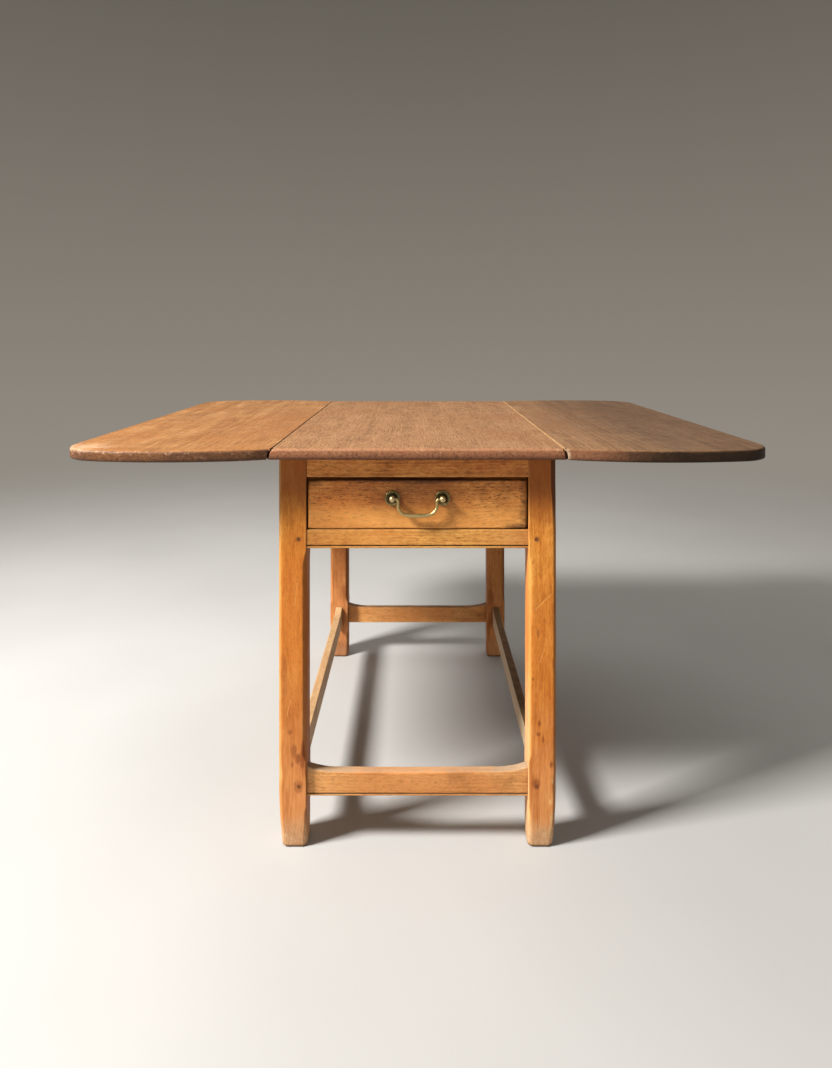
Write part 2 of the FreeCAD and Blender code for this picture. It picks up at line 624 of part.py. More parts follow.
# ---------------------------------------------------------------------- drawer
def tail_set(y0, y1, z0, z1, n, w_root, w_end, x0, x1):
    """Dovetails of a drawer side, running in y from the root to the end."""
    out = []
    pitch = (z1 - z0) / n
    for i in range(n):
        zc = z0 + (i + 0.5) * pitch
        f = Part.Face(Part.makePolygon([
            V(x0, y0, zc - w_root / 2), V(x0, y1, zc - w_end / 2),
            V(x0, y1, zc + w_end / 2), V(x0, y0, zc + w_root / 2),
            V(x0, y0, zc - w_root / 2)]))
        out.append(f.extrude(V(x1 - x0, 0, 0)))
    return out


sx0, sx1 = DRW_X - DRW_SIDE_T, DRW_X
side_solid = fuse(
    [box(sx0, sx1, DRW_BACKFACE, DRW_BACK_Y0, DRW_SIDE_Z0, DRW_SIDE_Z1)]
    + tail_set(DRW_BACKFACE, DRW_BACKFACE - 15.5, 568.5, 649.0, 4, 11.0, 15.5, sx0, sx1)
    + tail_set(DRW_BACK_Y0, DRW_BACK_Y1, 580.0, 647.0, 3, 12.0, 16.0, sx0, sx1))
side_left = mx(side_solid)
groove = box(-sx0 - 5.0, sx0 + 5.0, DRW_BACKFACE - 5.0, DRW_BACK_Y1 + 5, 569.95, 578.05)

dfront = box(-DRW_X, DRW_X, DRW_FACE, DRW_BACKFACE, DRW_Z0, DRW_Z1)
dfront = round_edges(dfront, 2.6, flat_at("y", DRW_FACE))
for s_ in (-1, 1):
    dfront = dfront.cut(cyl(3.05, (s_ * PULL_X, DRW_FACE - 5, PULL_Z), (0, 1, 0), 40))
dfront = cut(dfront, [side_solid, side_left, groove])
put("drawer_front", dfront)
put("drawer_side_right", cut(side_solid, [groove]))
put("drawer_side_left", cut(side_left, [groove]))
dback = cut(box(-DRW_X, DRW_X, DRW_BACK_Y0, DRW_BACK_Y1, 578.0, 648.0),
            [side_solid, side_left])
nails, nail_holes = [], []
for x in (-120.0, 0.0, 120.0):
    n = cyl(2.0, (x, 212.5, 569.4), (0, 0, 1), 0.6)
    n = n.fuse(cyl(0.9, (x, 212.5, 570.0), (0, 0, 1), 24.0)).removeSplitter()
    nails.append(one(n))
    nail_holes.append(cyl(0.95, (x, 212.5, 569.0), (0, 0, 1), 25.2))
put("drawer_back", cut(dback, nail_holes + [groove]))
dbot = box(-189.0, 189.0, DRW_BACKFACE - 4.5, DRW_BACK_Y1, 570.0, 578.0)
put("drawer_bottom", cut(dbot, nail_holes))
group("drawer_bottom_nails", nails)


# ------------------------------------------------------------------------ pull
def turned(pts, x, z):
    """Solid turned about an axis along Y at (x, z) from (radius, y) points."""
    vs = [V(x + r, y, z) for r, y in pts]
    f = Part.Face(Part.makePolygon(vs + [vs[0]]))
    return one(f.revolve(V(x, 0, z), V(0, 1, 0), 360))


def rosette(x):
    yb = DRW_FACE
    return turned([(3.05, yb), (13.5, yb), (13.5, yb - 1.6), (12.9, yb - 2.7),
                   (11.9, yb - 3.3), (10.9, yb - 2.7), (10.2, yb - 1.7),
                   (7.6, yb - 1.5), (7.0, yb - 2.2), (6.0, yb - 2.9),
                   (4.9, yb - 3.2), (3.05, yb - 3.2)], x, PULL_Z)


def post(x):
    """Ball-headed post: shank through the drawer front, cross hole inside."""
    yb = DRW_FACE
    s = turned([(0, -376.5), (2.4, -376.5), (3.0, -377.2), (3.0, yb - 3.3),
                (4.6, yb - 3.3), (4.6, yb - 4.3), (3.6, yb - 5.2), (3.2, yb - 6.2),
                (0, yb - 8.0)], x, PULL_Z)
    s = s.fuse(Part.makeSphere(5.6, V(x, BAIL_Y, PULL_Z))).removeSplitter()
    sx = -1 if x > 0 else 1
    hole = cyl(2.26, (x + sx * 7.0, BAIL_Y, PULL_Z), (-sx, 0, 0), 5.8)
    return one(s.cut(hole))


put("rosette_right", rosette(PULL_X))
put("rosette_left", rosette(-PULL_X))
put("post_right", post(PULL_X))
put("post_left", post(-PULL_X))
nuts = []
for s_ in (-1, 1):
    n = box(s_ * PULL_X - 4.6, s_ * PULL_X + 4.6, DRW_BACKFACE, DRW_BACKFACE + 3.4,
            PULL_Z - 4.6, PULL_Z + 4.6)
    nuts.append(one(n.cut(cyl(3.05, (s_ * PULL_X, DRW_BACKFACE - 1, PULL_Z), (0, 1, 0), 8))))
group("pull_nuts", nuts)


def bail():
    """Drop handle: pins, elbows, uprights, corners and a swelled bar."""
    q = math.sqrt(0.5)
    R1, R2 = 4.0, 14.0
    P = lambda x, z: V(x, BAIL_Y, z)
    xe = BAIL_X + R1
    e = [Part.LineSegment(P(xe + 0.4, PULL_Z), P(xe, PULL_Z)).toShape(),
         Part.Arc(P(xe, PULL_Z), P(xe - R1 * q, PULL_Z - R1 + R1 * q),
                  P(BAIL_X, PULL_Z - R1)).toShape(),
         Part.LineSegment(P(BAIL_X, PULL_Z - R1), P(BAIL_X, BAIL_Z + R2)).toShape(),
         Part.Arc(P(BAIL_X, BAIL_Z + R2), P(BAIL_X - R2 + R2 * q, BAIL_Z + R2 - R2 * q),
                  P(BAIL_X - R2, BAIL_Z)).toShape()]
    w = Part.Wire(e)
    prof = Part.Wire(Part.makeCircle(BAIL_R, P(xe + 0.4, PULL_Z), V(-1, 0, 0)))
    side = one(w.makePipeShell([prof], True, False))
    pin = cyl(2.2, (xe + 0.2, BAIL_Y, PULL_Z), (1, 0, 0), 42.5 - xe - 0.2)
    half = fuse([side, pin])
    xb_ = BAIL_X - R2
    pts = [(0.0, BAIL_MID_R), (5.0, BAIL_MID_R - 0.12), (10.0, 3.15), (15.0, 2.65), (xb_, BAIL_R)]
    up = [V(x, BAIL_Y, BAIL_Z + r) for x, r in pts]
    ring = [V(-x, p.y, p.z) for (x, r), p in zip(pts[::-1], up[::-1])][:-1] + up
    wire = Part.makePolygon([V(-xb_, BAIL_Y, BAIL_Z)] + ring +
                            [V(xb_, BAIL_Y, BAIL_Z), V(-xb_, BAIL_Y, BAIL_Z)])
    bar = one(Part.Face(wire).revolve(V(0, BAIL_Y, BAIL_Z), V(1, 0, 0), 360))
    return fuse([half, mx(half), bar])


put("drawer_bail", bail())

# ----------------------------------------------------------------------- write
bad = 0
for name in sorted(OUT):
    s = OUT[name]
    ok = s.isValid() and len(s.Solids) >= 1 and all(x.Volume > 0 for x in s.Solids)
    bad += 0 if ok else 1
    print("%-28s solids %2d  volume %12.1f  %s" % (
        name, len(s.Solids), s.Volume, "ok" if ok else "BAD"))
    s.exportStep("parts/%s.step" % name)
print("nodes", len(OUT), "bad", bad)
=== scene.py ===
import bpy
import bmesh
import json
import math
import numpy as np
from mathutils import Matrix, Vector


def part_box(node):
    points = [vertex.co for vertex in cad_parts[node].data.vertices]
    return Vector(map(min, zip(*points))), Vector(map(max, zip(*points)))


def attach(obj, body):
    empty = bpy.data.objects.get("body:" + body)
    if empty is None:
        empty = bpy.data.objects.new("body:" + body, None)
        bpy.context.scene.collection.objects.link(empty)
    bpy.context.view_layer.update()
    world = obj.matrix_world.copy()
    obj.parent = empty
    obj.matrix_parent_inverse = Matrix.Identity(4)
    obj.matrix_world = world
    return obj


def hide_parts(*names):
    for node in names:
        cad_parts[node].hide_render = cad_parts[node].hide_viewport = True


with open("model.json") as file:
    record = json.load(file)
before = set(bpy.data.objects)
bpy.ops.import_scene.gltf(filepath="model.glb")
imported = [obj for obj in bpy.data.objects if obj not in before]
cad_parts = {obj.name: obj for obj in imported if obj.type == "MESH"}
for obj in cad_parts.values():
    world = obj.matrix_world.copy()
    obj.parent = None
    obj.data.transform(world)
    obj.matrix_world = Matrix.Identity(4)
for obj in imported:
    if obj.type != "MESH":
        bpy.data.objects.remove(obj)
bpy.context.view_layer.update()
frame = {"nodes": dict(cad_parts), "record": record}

MM = 0.001
nodes = frame["nodes"]
node_body = {n: b for b, ns in frame["record"]["behaviour"]["bodies"].items() for n in ns}
node_slot = {s["node"]: s["material_slot"] for s in frame["record"]["subparts"]}


# =====================================================================
# Smooth lattice noise for shaping meshes (seeded, the same every run)
# =====================================================================
def _hash(ix, iy, iz, seed):
    h = (ix.astype(np.int64) * 374761393 + iy.astype(np.int64) * 668265263
         + iz.astype(np.int64) * 1274126177 + seed * 974711) & 0xFFFFFFFF
    h = ((h ^ (h >> 13)) * 1103515245) & 0xFFFFFFFF
    h = ((h ^ (h >> 16)) * 2654435761) & 0xFFFFFFFF
    return (h & 0xFFFFFF).astype(float) / float(0xFFFFFF) * 2.0 - 1.0


def vnoise(p, seed=0):
    p = np.atleast_2d(np.asarray(p, float))
    i = np.floor(p).astype(np.int64)
    f = p - i
    u = f * f * f * (f * (f * 6 - 15) + 10)
    out = np.zeros(len(p))
    for dx in (0, 1):
        for dy in (0, 1):
            for dz in (0, 1):
                w = ((u[:, 0] if dx else 1 - u[:, 0]) * (u[:, 1] if dy else 1 - u[:, 1])
                     * (u[:, 2] if dz else 1 - u[:, 2]))
                out += w * _hash(i[:, 0] + dx, i[:, 1] + dy, i[:, 2] + dz, seed)
    return out


def fbm(p, seed=0, octaves=3):
    p = np.atleast_2d(np.asarray(p, float))
    out, amp, tot = np.zeros(len(p)), 1.0, 0.0
    for k in range(octaves):
        out += amp * vnoise(p * (2.03 ** k) + 17.3 * k, seed + 31 * k)
        tot += amp
        amp *= 0.5
    return out / tot


def line_noise(s, seed, octaves=3):
    """Noise along a line; s is a scalar or an array."""
    s = np.atleast_1d(np.asarray(s, float))
    return fbm(np.stack([s, np.full_like(s, 3.7), np.full_like(s, 9.1)], 1), seed, octaves)


def smooth(t):
    t = np.clip(t, 0.0, 1.0)
    return t * t * (3 - 2 * t)


# =====================================================================
# Node helper
# =====================================================================
class Nodes:
    def __init__(self, tree):
        self.t = tree
        self.x = 0

    def new(self, kind, **props):
        n = self.t.nodes.new(kind)
        n.location = (self.x, 0)
        self.x += 40
        for k, v in props.items():
            setattr(n, k, v)
        return n

    def put(self, sock, v):
        if isinstance(v, bpy.types.NodeSocket):
            self.t.links.new(v, sock)
        elif v is not None:
            sock.default_value = v

    def math(self, op, a, b=None, c=None, clamp=False):
        n = self.new("ShaderNodeMath", operation=op, use_clamp=clamp)
        for i, v in enumerate((a, b, c)):
            if v is not None:
                self.put(n.inputs[i], v)
        return n.outputs[0]

    def vec(self, op, a, b=None, scale=None):
        n = self.new("ShaderNodeVectorMath", operation=op)
        self.put(n.inputs[0], a)
        if b is not None:
            self.put(n.inputs[1], b)
        if scale is not None:
            self.put(n.inputs["Scale"], scale)
        return n.outputs["Value"] if op in ("LENGTH", "DISTANCE", "DOT_PRODUCT") else n.outputs["Vector"]

    def xyz(self, x, y, z):
        n = self.new("ShaderNodeCombineXYZ")
        for i, v in enumerate((x, y, z)):
            self.put(n.inputs[i], v)
        return n.outputs[0]

    def split(self, v):
        n = self.new("ShaderNodeSeparateXYZ")
        self.put(n.inputs[0], v)
        return n.outputs[0], n.outputs[1], n.outputs[2]

    def noise(self, vec, scale=1.0, detail=2.0, rough=0.5, distortion=0.0, colour=False):
        n = self.new("ShaderNodeTexNoise", noise_dimensions="3D")
        self.put(n.inputs["Vector"], vec)
        n.inputs["Scale"].default_value = scale
        n.inputs["Detail"].default_value = detail
        n.inputs["Roughness"].default_value = rough
        n.inputs["Distortion"].default_value = distortion
        return n.outputs["Color"] if colour else n.outputs["Fac"]

    def voronoi(self, vec, scale=1.0, feature="F1", rand=1.0, out="Distance"):
        n = self.new("ShaderNodeTexVoronoi", voronoi_dimensions="3D", feature=feature)
        self.put(n.inputs["Vector"], vec)
        n.inputs["Scale"].default_value = scale
        n.inputs["Randomness"].default_value = rand
        return n.outputs[out]

    def ramp(self, fac, stops, interp="LINEAR"):
        n = self.new("ShaderNodeValToRGB")
        cr = n.color_ramp
        cr.interpolation = interp
        while len(cr.elements) < len(stops):
            cr.elements.new(0.5)
        for e, (p, c) in zip(cr.elements, stops):
            e.position = p
            e.color = tuple(c) + (1.0,) if len(c) == 3 else c
        self.put(n.inputs[0], fac)
        return n.outputs["Color"]

    def map(self, v, a, b, c=0.0, d=1.0, kind="SMOOTHSTEP"):
        n = self.new("ShaderNodeMapRange", interpolation_type=kind, clamp=True) if kind == "LINEAR" \
            else self.new("ShaderNodeMapRange", interpolation_type=kind)
        self.put(n.inputs["Value"], v)
        for k, x in (("From Min", a), ("From Max", b), ("To Min", c), ("To Max", d)):
            self.put(n.inputs[k], x)
        return n.outputs["Result"]

    def mix(self, fac, a, b, blend="MIX"):
        n = self.new("ShaderNodeMix", data_type="RGBA", blend_type=blend)
        n.clamp_factor = True
        self.put(n.inputs[0], fac)
        for s, v in ((n.inputs[6], a), (n.inputs[7], b)):
            if isinstance(v, tuple) and len(v) == 3:
                v = v + (1.0,)
            self.put(s, v)
        return n.outputs[2]

    def bump(self, height, strength, distance, normal=None):
        n = self.new("ShaderNodeBump")
        n.inputs["Strength"].default_value = strength
        n.inputs["Distance"].default_value = distance
        self.put(n.inputs["Height"], height)
        if normal is not None:
            self.put(n.inputs["Normal"], normal)
        return n.outputs["Normal"]

    def ao(self, distance, samples=6, inside=False):
        n = self.new("ShaderNodeAmbientOcclusion", samples=samples, inside=inside)
        n.inputs["Distance"].default_value = distance
        return n.outputs["AO"]


def lin(r, g, b):
    """Linear colour from 8-bit display values."""
    out = []
    for c in (r, g, b):
        c = c / 255.0
        out.append(c / 12.92 if c <= 0.04045 else ((c + 0.055) / 1.055) ** 2.4)
    return tuple(out)


def new_material(name):
    m = bpy.data.materials.new(name)
    m.use_nodes = True
    m.node_tree.nodes.clear()
    k = Nodes(m.node_tree)
    out = k.new("ShaderNodeOutputMaterial")
    bsdf = k.new("ShaderNodeBsdfPrincipled")
    m.node_tree.links.new(bsdf.outputs[0], out.inputs[0])
    return m, k, bsdf


# =====================================================================
# Wood
# =====================================================================
def spot(k, ctx, centre, radii, lo=0.45, hi=1.1):
    """Soft irregular patch about a point, metres."""
    d = k.vec("SUBTRACT", ctx["P"], tuple(float(c) for c in centre))
    d = k.vec("LENGTH", k.vec("MULTIPLY", d, tuple(1.0 / r for r in radii)))
    d = k.math("MULTIPLY_ADD", k.math("SUBTRACT", ctx["patchy"], 0.5), 1.5, d)
    return k.map(d, lo, hi, 1.0, 0.0)


def streak(k, u, v, p, q, w):
    """Thin scratch from p to q in the plane of coordinates u, v, metres."""
    dx, dz = q[0] - p[0], q[1] - p[1]
    L2 = dx * dx + dz * dz
    t = k.math("ADD", k.math("MULTIPLY", k.math("SUBTRACT", u, p[0]), dx / L2),
               k.math("MULTIPLY", k.math("SUBTRACT", v, p[1]), dz / L2), clamp=True)
    ex = k.math("SUBTRACT", u, k.math("MULTIPLY_ADD", t, dx, p[0]))
    ez = k.math("SUBTRACT", v, k.math("MULTIPLY_ADD", t, dz, p[1]))
    d = k.math("SQRT", k.math("ADD", k.math("MULTIPLY", ex, ex), k.math("MULTIPLY", ez, ez)))
    return k.map(d, 0.3 * w, w, 1.0, 0.0)


def wood(name, grain, seed, tones, centre, half, ring=0.005, pith=(0.05, -0.12), fig=1.0,
         contrast=1.0, pore=0.5, fleck=0.5, speck=0.0, stain=0.35, edge_wear=0.35, edge_tone=None,
         edge_dark=0.0, grime_and_shade=0.7, fibres=1.0, rough=0.50, coat=0.02, spec=0.22, bump=0.35, extra=None,
         scuff=0.0, mottle=1.0, band=0.0, wipe=0.0, dapple=0.0, dash=0.0):
    """Aged waxed wood with the grain along the axis named by grain.
    tones = (dark, mid, light, warm tint); centre and half give the piece's box in metres."""
    m, k, bsdf = new_material(name)
    tc = k.new("ShaderNodeTexCoord")
    P = tc.outputs["Object"]
    px, py, pz = k.split(P)
    rng = np.random.RandomState(seed)
    off = [float(v) for v in rng.uniform(-4, 4, 3)]
    order = {"x": (px, py, pz), "y": (py, px, pz), "z": (pz, px, py)}[grain]
    ci = {"x": (0, 1, 2), "y": (1, 0, 2), "z": (2, 0, 1)}[grain]
    g = k.math("ADD", order[0], off[0])
    a = k.math("SUBTRACT", order[1], float(centre[ci[1]]))
    b = k.math("SUBTRACT", order[2], float(centre[ci[2]]))

    def stretched(along, across, detail, rgh, o1, o2, u, v):
        return k.noise(k.xyz(k.math("MULTIPLY", g, along), k.math("MULTIPLY_ADD", u, across, o1),
                             k.math("MULTIPLY_ADD", v, across, o2)), 1.0, detail, rgh)

    # slow waver of the fibres along the length
    wv = k.noise(k.xyz(k.math("MULTIPLY", g, 2.6), k.math("MULTIPLY_ADD", a, 9.0, off[1]),
                       k.math("MULTIPLY_ADD", b, 9.0, off[2])), 1.0, 2.0, 0.5, colour=True)
    wr, wg, wb = k.split(wv)
    aw = k.math("MULTIPLY_ADD", k.math("SUBTRACT", wr, 0.5), 0.026 * fig, a)
    bw = k.math("MULTIPLY_ADD", k.math("SUBTRACT", wg, 0.5), 0.026 * fig, b)
    # growth rings about a pith that lies off the piece
    ra = k.math("SUBTRACT", aw, float(pith[0]))
    rb = k.math("SUBTRACT", bw, float(pith[1]))
    rad = k.math("SQRT", k.math("ADD", k.math("MULTIPLY", ra, ra), k.math("MULTIPLY", rb, rb)))
    jit = k.noise(k.xyz(k.math("MULTIPLY", g, 1.2), k.math("MULTIPLY", aw, 40.0),
                        k.math("MULTIPLY", bw, 40.0)), 1.0, 2.0, 0.5)
    ph = k.math("MULTIPLY_ADD", jit, 2.4, k.math("DIVIDE", rad, ring))
    sn = k.math("SINE", k.math("MULTIPLY", ph, 2 * math.pi))
    rings = k.map(sn, -1.0, 1.0, 0.0, 1.0)
    # fibre streaks, fine pores, flecks, mottle
    fibre = stretched(16.0, 300.0, 4.0, 0.60, off[1], off[2], aw, bw)
    fine = stretched(110.0, 900.0, 2.0, 0.6, off[0], off[2], aw, bw)
    pores = stretched(52.0, 400.0, 2.0, 0.6, off[2], off[1], aw, bw)
    pmask = k.map(pores, 0.55, 0.68, 0.0, 1.0)
    flk = stretched(34.0, 190.0, 2.0, 0.6, off[0], off[1], aw, bw)
    fmask = k.map(flk, 0.635, 0.72, 0.0, 1.0)
    mot = stretched(9.0, 30.0, 3.0, 0.58, off[1], off[0], a, b)
    big = k.noise(k.vec("ADD", P, tuple(off)), 4.2, 2.0, 0.5)
    t = k.math("MULTIPLY_ADD", k.math("SUBTRACT", fibre, 0.5), 0.85 * contrast * fibres, 0.5)
    t = k.math("MULTIPLY_ADD", k.math("SUBTRACT", mot, 0.5), 0.95 * contrast * mottle, t)
    t = k.math("MULTIPLY_ADD", k.math("SUBTRACT", fine, 0.5), 0.50 * contrast, t)
    t = k.math("MULTIPLY_ADD", k.math("SUBTRACT", 0.5, rings), 0.17 * fig * contrast, t)
    if band:
        bd = k.noise(k.xyz(k.math("MULTIPLY", g, 0.9), k.math("MULTIPLY_ADD", aw, 26.0, off[2]),
                           k.math("MULTIPLY_ADD", bw, 10.0, off[1])), 1.0, 3.0, 0.55)
        t = k.math("MULTIPLY_ADD", k.math("SUBTRACT", bd, 0.5), band, t)
    if wipe:
        wp = k.noise(k.xyz(k.math("MULTIPLY", g, 62.0), k.math("MULTIPLY_ADD", a, 10.0, off[1]),
                           k.math("MULTIPLY_ADD", b, 10.0, off[2])), 1.0, 3.0, 0.6, 0.4)
        t = k.math("MULTIPLY_ADD", k.math("SUBTRACT", wp, 0.5), wipe, t)
    if dapple:
        dp = stretched(75.0, 170.0, 3.0, 0.6, off[0], off[1], a, b)
        t = k.math("MULTIPLY_ADD", k.math("SUBTRACT", dp, 0.5), 0.8 * dapple, t)
    dark, mid, light, warm = tones
    col = k.ramp(t, [(0.12, dark), (0.50, mid), (0.88, light)], "LINEAR")
    col = k.mix(k.map(big, 0.42, 0.66, 0.0, 0.6), col, warm, "MIX")
    patchy = k.noise(k.vec("ADD", P, tuple(o + 3.3 for o in off)), 42.0, 4.0, 0.6)
    if stain:
        st = k.noise(k.vec("ADD", P, tuple(o - 7.7 for o in off)), 13.0, 4.0, 0.62)
        col = k.mix(k.math("MULTIPLY", k.map(st, 0.54, 0.72), stain), col, tuple(c * 0.8 for c in dark))
    if dapple:
        dr = stretched(60.0, 140.0, 3.0, 0.62, off[2] + 5.0, off[0], a, b)
        col = k.mix(k.math("MULTIPLY", k.map(dr, 0.55, 0.72), 0.6 * dapple), col, tuple(c * 0.72 for c in warm))
    if dash:
        ds = stretched(120.0, 560.0, 2.0, 0.6, off[2], off[0] + 3.0, a, b)
        col = k.mix(k.math("MULTIPLY", k.map(ds, 0.56, 0.69), dash), col, tuple(c * 0.8 for c in dark))
        dq = stretched(95.0, 380.0, 2.0, 0.6, off[0] + 1.0, off[1] + 2.0, a, b)
        col = k.mix(k.math("MULTIPLY", k.map(dq, 0.66, 0.74), 0.9 * dash), col, tuple(c * 0.4 for c in dark))
    col = k.mix(k.math("MULTIPLY", fmask, fleck), col, tuple(c * 0.42 for c in dark))
    col = k.mix(k.math("MULTIPLY", pmask, pore * 0.7), col, tuple(c * 0.6 for c in dark))
    if speck:
        sp = k.noise(k.vec("MULTIPLY", P, (420.0, 42.0, 420.0)), 1.0, 2.0, 0.65)
        col = k.mix(k.math("MULTIPLY", k.map(sp, 0.54, 0.70), speck), col, tuple(c * 0.55 for c in dark))
        col = k.mix(k.math("MULTIPLY", k.map(sp, 0.32, 0.46, 1.0, 0.0), 0.5 * speck), col, light)
    # distance from the nearest edge of the piece's box, metres
    dist = []
    for i, q in enumerate((px, py, pz)):
        d = k.math("ABSOLUTE", k.math("SUBTRACT", q, float(centre[i])))
        dist.append(k.math("SUBTRACT", float(half[i]), d))
    lo = k.math("MINIMUM", dist[0], dist[1])
    hi = k.math("MAXIMUM", dist[0], dist[1])
    edge = k.math("MAXIMUM", lo, k.math("MINIMUM", hi, dist[2]))
    wear = k.math("MULTIPLY", k.map(edge, 0.0005, 0.007, 1.0, 0.0), k.map(patchy, 0.38, 0.66, 0.15, 1.0))
    ctx = dict(P=P, px=px, py=py, pz=pz, edge=edge, patchy=patchy, wear=wear, fibre=fibre,
               big=big, mot=mot, fine=fine, pores=pores, off=off, dark=dark, mid=mid, light=light)
    if edge_tone is not None and edge_wear:
        col = k.mix(k.math("MULTIPLY", wear, edge_wear), col, edge_tone)
    if edge_dark:
        ed = k.math("MULTIPLY", k.map(edge, 0.001, 0.011, 1.0, 0.0), k.map(patchy, 0.36, 0.64, 0.1, 1.0))
        col = k.mix(k.math("MULTIPLY", ed, edge_dark), col, tuple(c * 0.35 for c in dark))
    height = k.math("MULTIPLY_ADD", pmask, -0.55, fibre)
    rgh = k.math("MULTIPLY_ADD", k.math("SUBTRACT", fibre, 0.5), 0.20,
                 k.math("MULTIPLY_ADD", patchy, 0.16, rough - 0.08))
    rgh = k.math("MULTIPLY_ADD", pmask, 0.12, rgh)
    if scuff:
        # fine scratches in two directions
        for i, (sx, sy) in enumerate(((3.0, 190.0), (150.0, 5.0))):
            sc = k.noise(k.xyz(k.math("MULTIPLY_ADD", px, sx, off[0] + i), k.math("MULTIPLY_ADD", py, sy, off[1]),
                               k.math("MULTIPLY", pz, 60.0)), 1.0, 2.0, 0.5, 0.6)
            sm = k.map(sc, 0.70, 0.76, 0.0, 1.0)
            col = k.mix(k.math("MULTIPLY", sm, 0.35 * scuff), col, light)
            rgh = k.math("MULTIPLY_ADD", sm, 0.10, rgh)
    if extra is not None:
        col, rgh, height = extra(k, ctx, col, rgh, height)
    # painted shade with grime: darkens the piece wherever ambient occlusion finds other surfaces close by, in joints,
    # corners and under parts
    if grime_and_shade:
        ao = k.ao(0.012)
        occlusion_shade = k.map(ao, 0.30, 0.90, 1.0, 0.0)
        col = k.mix(k.math("MULTIPLY", occlusion_shade, grime_and_shade), col, tuple(c * 0.14 for c in mid))
    k.put(bsdf.inputs["Base Color"], col)
    k.put(bsdf.inputs["Roughness"], k.math("MAXIMUM", rgh, 0.2))
    soft = k.noise(k.vec("ADD", P, tuple(off)), 26.0, 2.0, 0.5)
    nb = k.bump(soft, 0.22, 0.004)
    k.put(bsdf.inputs["Normal"], k.bump(height, bump, 0.0009, nb))
    bsdf.inputs["Coat Weight"].default_value = coat
    bsdf.inputs["Coat Roughness"].default_value = 0.3
    bsdf.inputs["Specular IOR Level"].default_value = spec
    return m


HONEY = (lin(158, 78, 26), lin(212, 136, 54), lin(238, 172, 88), lin(202, 114, 42))
HONEY_RED = (lin(116, 62, 28), lin(170, 107, 54), lin(200, 140, 80), lin(156, 88, 42))
DRAWER_T = (lin(116, 58, 26), lin(208, 133, 63), lin(238, 173, 98), lin(184, 101, 45))
TOP_T = (lin(86, 55, 33), lin(150, 108, 71), lin(180, 136, 98), lin(142, 95, 58))
LEAF_L = (lin(106, 66, 32), lin(158, 110, 65), lin(188, 142, 94), lin(150, 96, 50))
# darker than LEAF_L, partly as painted shade
LEAF_R = (lin(82, 54, 32), lin(140, 102, 66), lin(172, 130, 92), lin(132, 90, 54))
STR_T = (lin(132, 76, 32), lin(211, 149, 74), lin(238, 186, 108), lin(198, 124, 56))
STR_F = (lin(140, 84, 44), lin(216, 154, 90), lin(240, 188, 126), lin(202, 128, 68))
TAN = (lin(120, 90, 62), lin(194, 157, 114), lin(220, 188, 148), lin(182, 138, 96))
PALE = (lin(118, 86, 54), lin(168, 128, 84), lin(196, 158, 112), lin(156, 112, 68))
FLYW = (lin(108, 62, 30), lin(158, 98, 50), lin(188, 126, 72), lin(142, 82, 40))
BACK = (lin(122, 64, 28), lin(184, 110, 54), lin(212, 144, 80), lin(168, 92, 44))


# =====================================================================
# Metal
# =====================================================================
def brass(name, lo, mid, hi, patina, rough, ring=None):
    """Aged brass; patina 0..1 is how much dark film is left on it.
    ring = (x, z, r) keeps the film within r of the axes at x and -x."""
    m, k, bsdf = new_material(name)
    P = k.new("ShaderNodeTexCoord").outputs["Object"]
    n1 = k.noise(P, 160.0, 4.0, 0.6)
    n2 = k.noise(P, 900.0, 3.0, 0.6)
    ao = k.ao(0.006, 8)
    dirt = k.math("MULTIPLY_ADD", k.map(ao, 0.30, 0.95, 1.0, 0.0), 0.85, k.map(n1, 0.46, 0.72, 0.0, 0.6 * patina))
    col = k.ramp(n1, [(0.25, lo), (0.55, mid), (0.85, hi)])
    if ring:
        x, y, z = k.split(P)
        dx = k.math("SUBTRACT", k.math("ABSOLUTE", x), ring[0])
        dz = k.math("SUBTRACT", z, ring[1])
        d = k.math("SQRT", k.math("ADD", k.math("MULTIPLY", dx, dx), k.math("MULTIPLY", dz, dz)))
        d = k.math("MULTIPLY_ADD", k.math("SUBTRACT", n1, 0.5), 0.003, d)
        dirt = k.math("MAXIMUM", dirt, k.map(d, ring[2] - 0.0012, ring[2] + 0.0012, 0.92, 0.0))
    col = k.mix(k.math("MINIMUM", dirt, 1.0), col, lin(46, 40, 26) if not ring else lin(34, 27, 15))
    k.put(bsdf.inputs["Base Color"], col)
    bsdf.inputs["Metallic"].default_value = 1.0
    k.put(bsdf.inputs["Roughness"], k.math("MULTIPLY_ADD", dirt, 0.30, k.math("MULTIPLY_ADD", n2, 0.14, rough)))
    k.put(bsdf.inputs["Normal"], k.bump(k.math("MULTIPLY_ADD", n1, 0.7, k.math("MULTIPLY", n2, 0.4)), 0.30, 0.0005))
    return m


def iron(name, tone, rust):
    m, k, bsdf = new_material(name)
    P = k.new("ShaderNodeTexCoord").outputs["Object"]
    n1 = k.noise(P, 210.0, 5.0, 0.65)
    n2 = k.noise(P, 45.0, 3.0, 0.6)
    r = k.math("MULTIPLY", k.map(n2, 0.45, 0.66), k.map(n1, 0.40, 0.62))
    col = k.ramp(n1, [(0.3, tuple(c * 0.6 for c in tone)), (0.7, tone)])
    col = k.mix(k.math("MULTIPLY", r, rust), col, lin(96, 50, 26))
    k.put(bsdf.inputs["Base Color"], col)
    k.put(bsdf.inputs["Metallic"], k.math("MULTIPLY_ADD", r, -0.6, 0.9))
    k.put(bsdf.inputs["Roughness"], k.math("MULTIPLY_ADD", r, 0.3, k.math("MULTIPLY_ADD", n1, 0.2, 0.38)))
    k.put(bsdf.inputs["Normal"], k.bump(n1, 0.35, 0.0006))
    return m


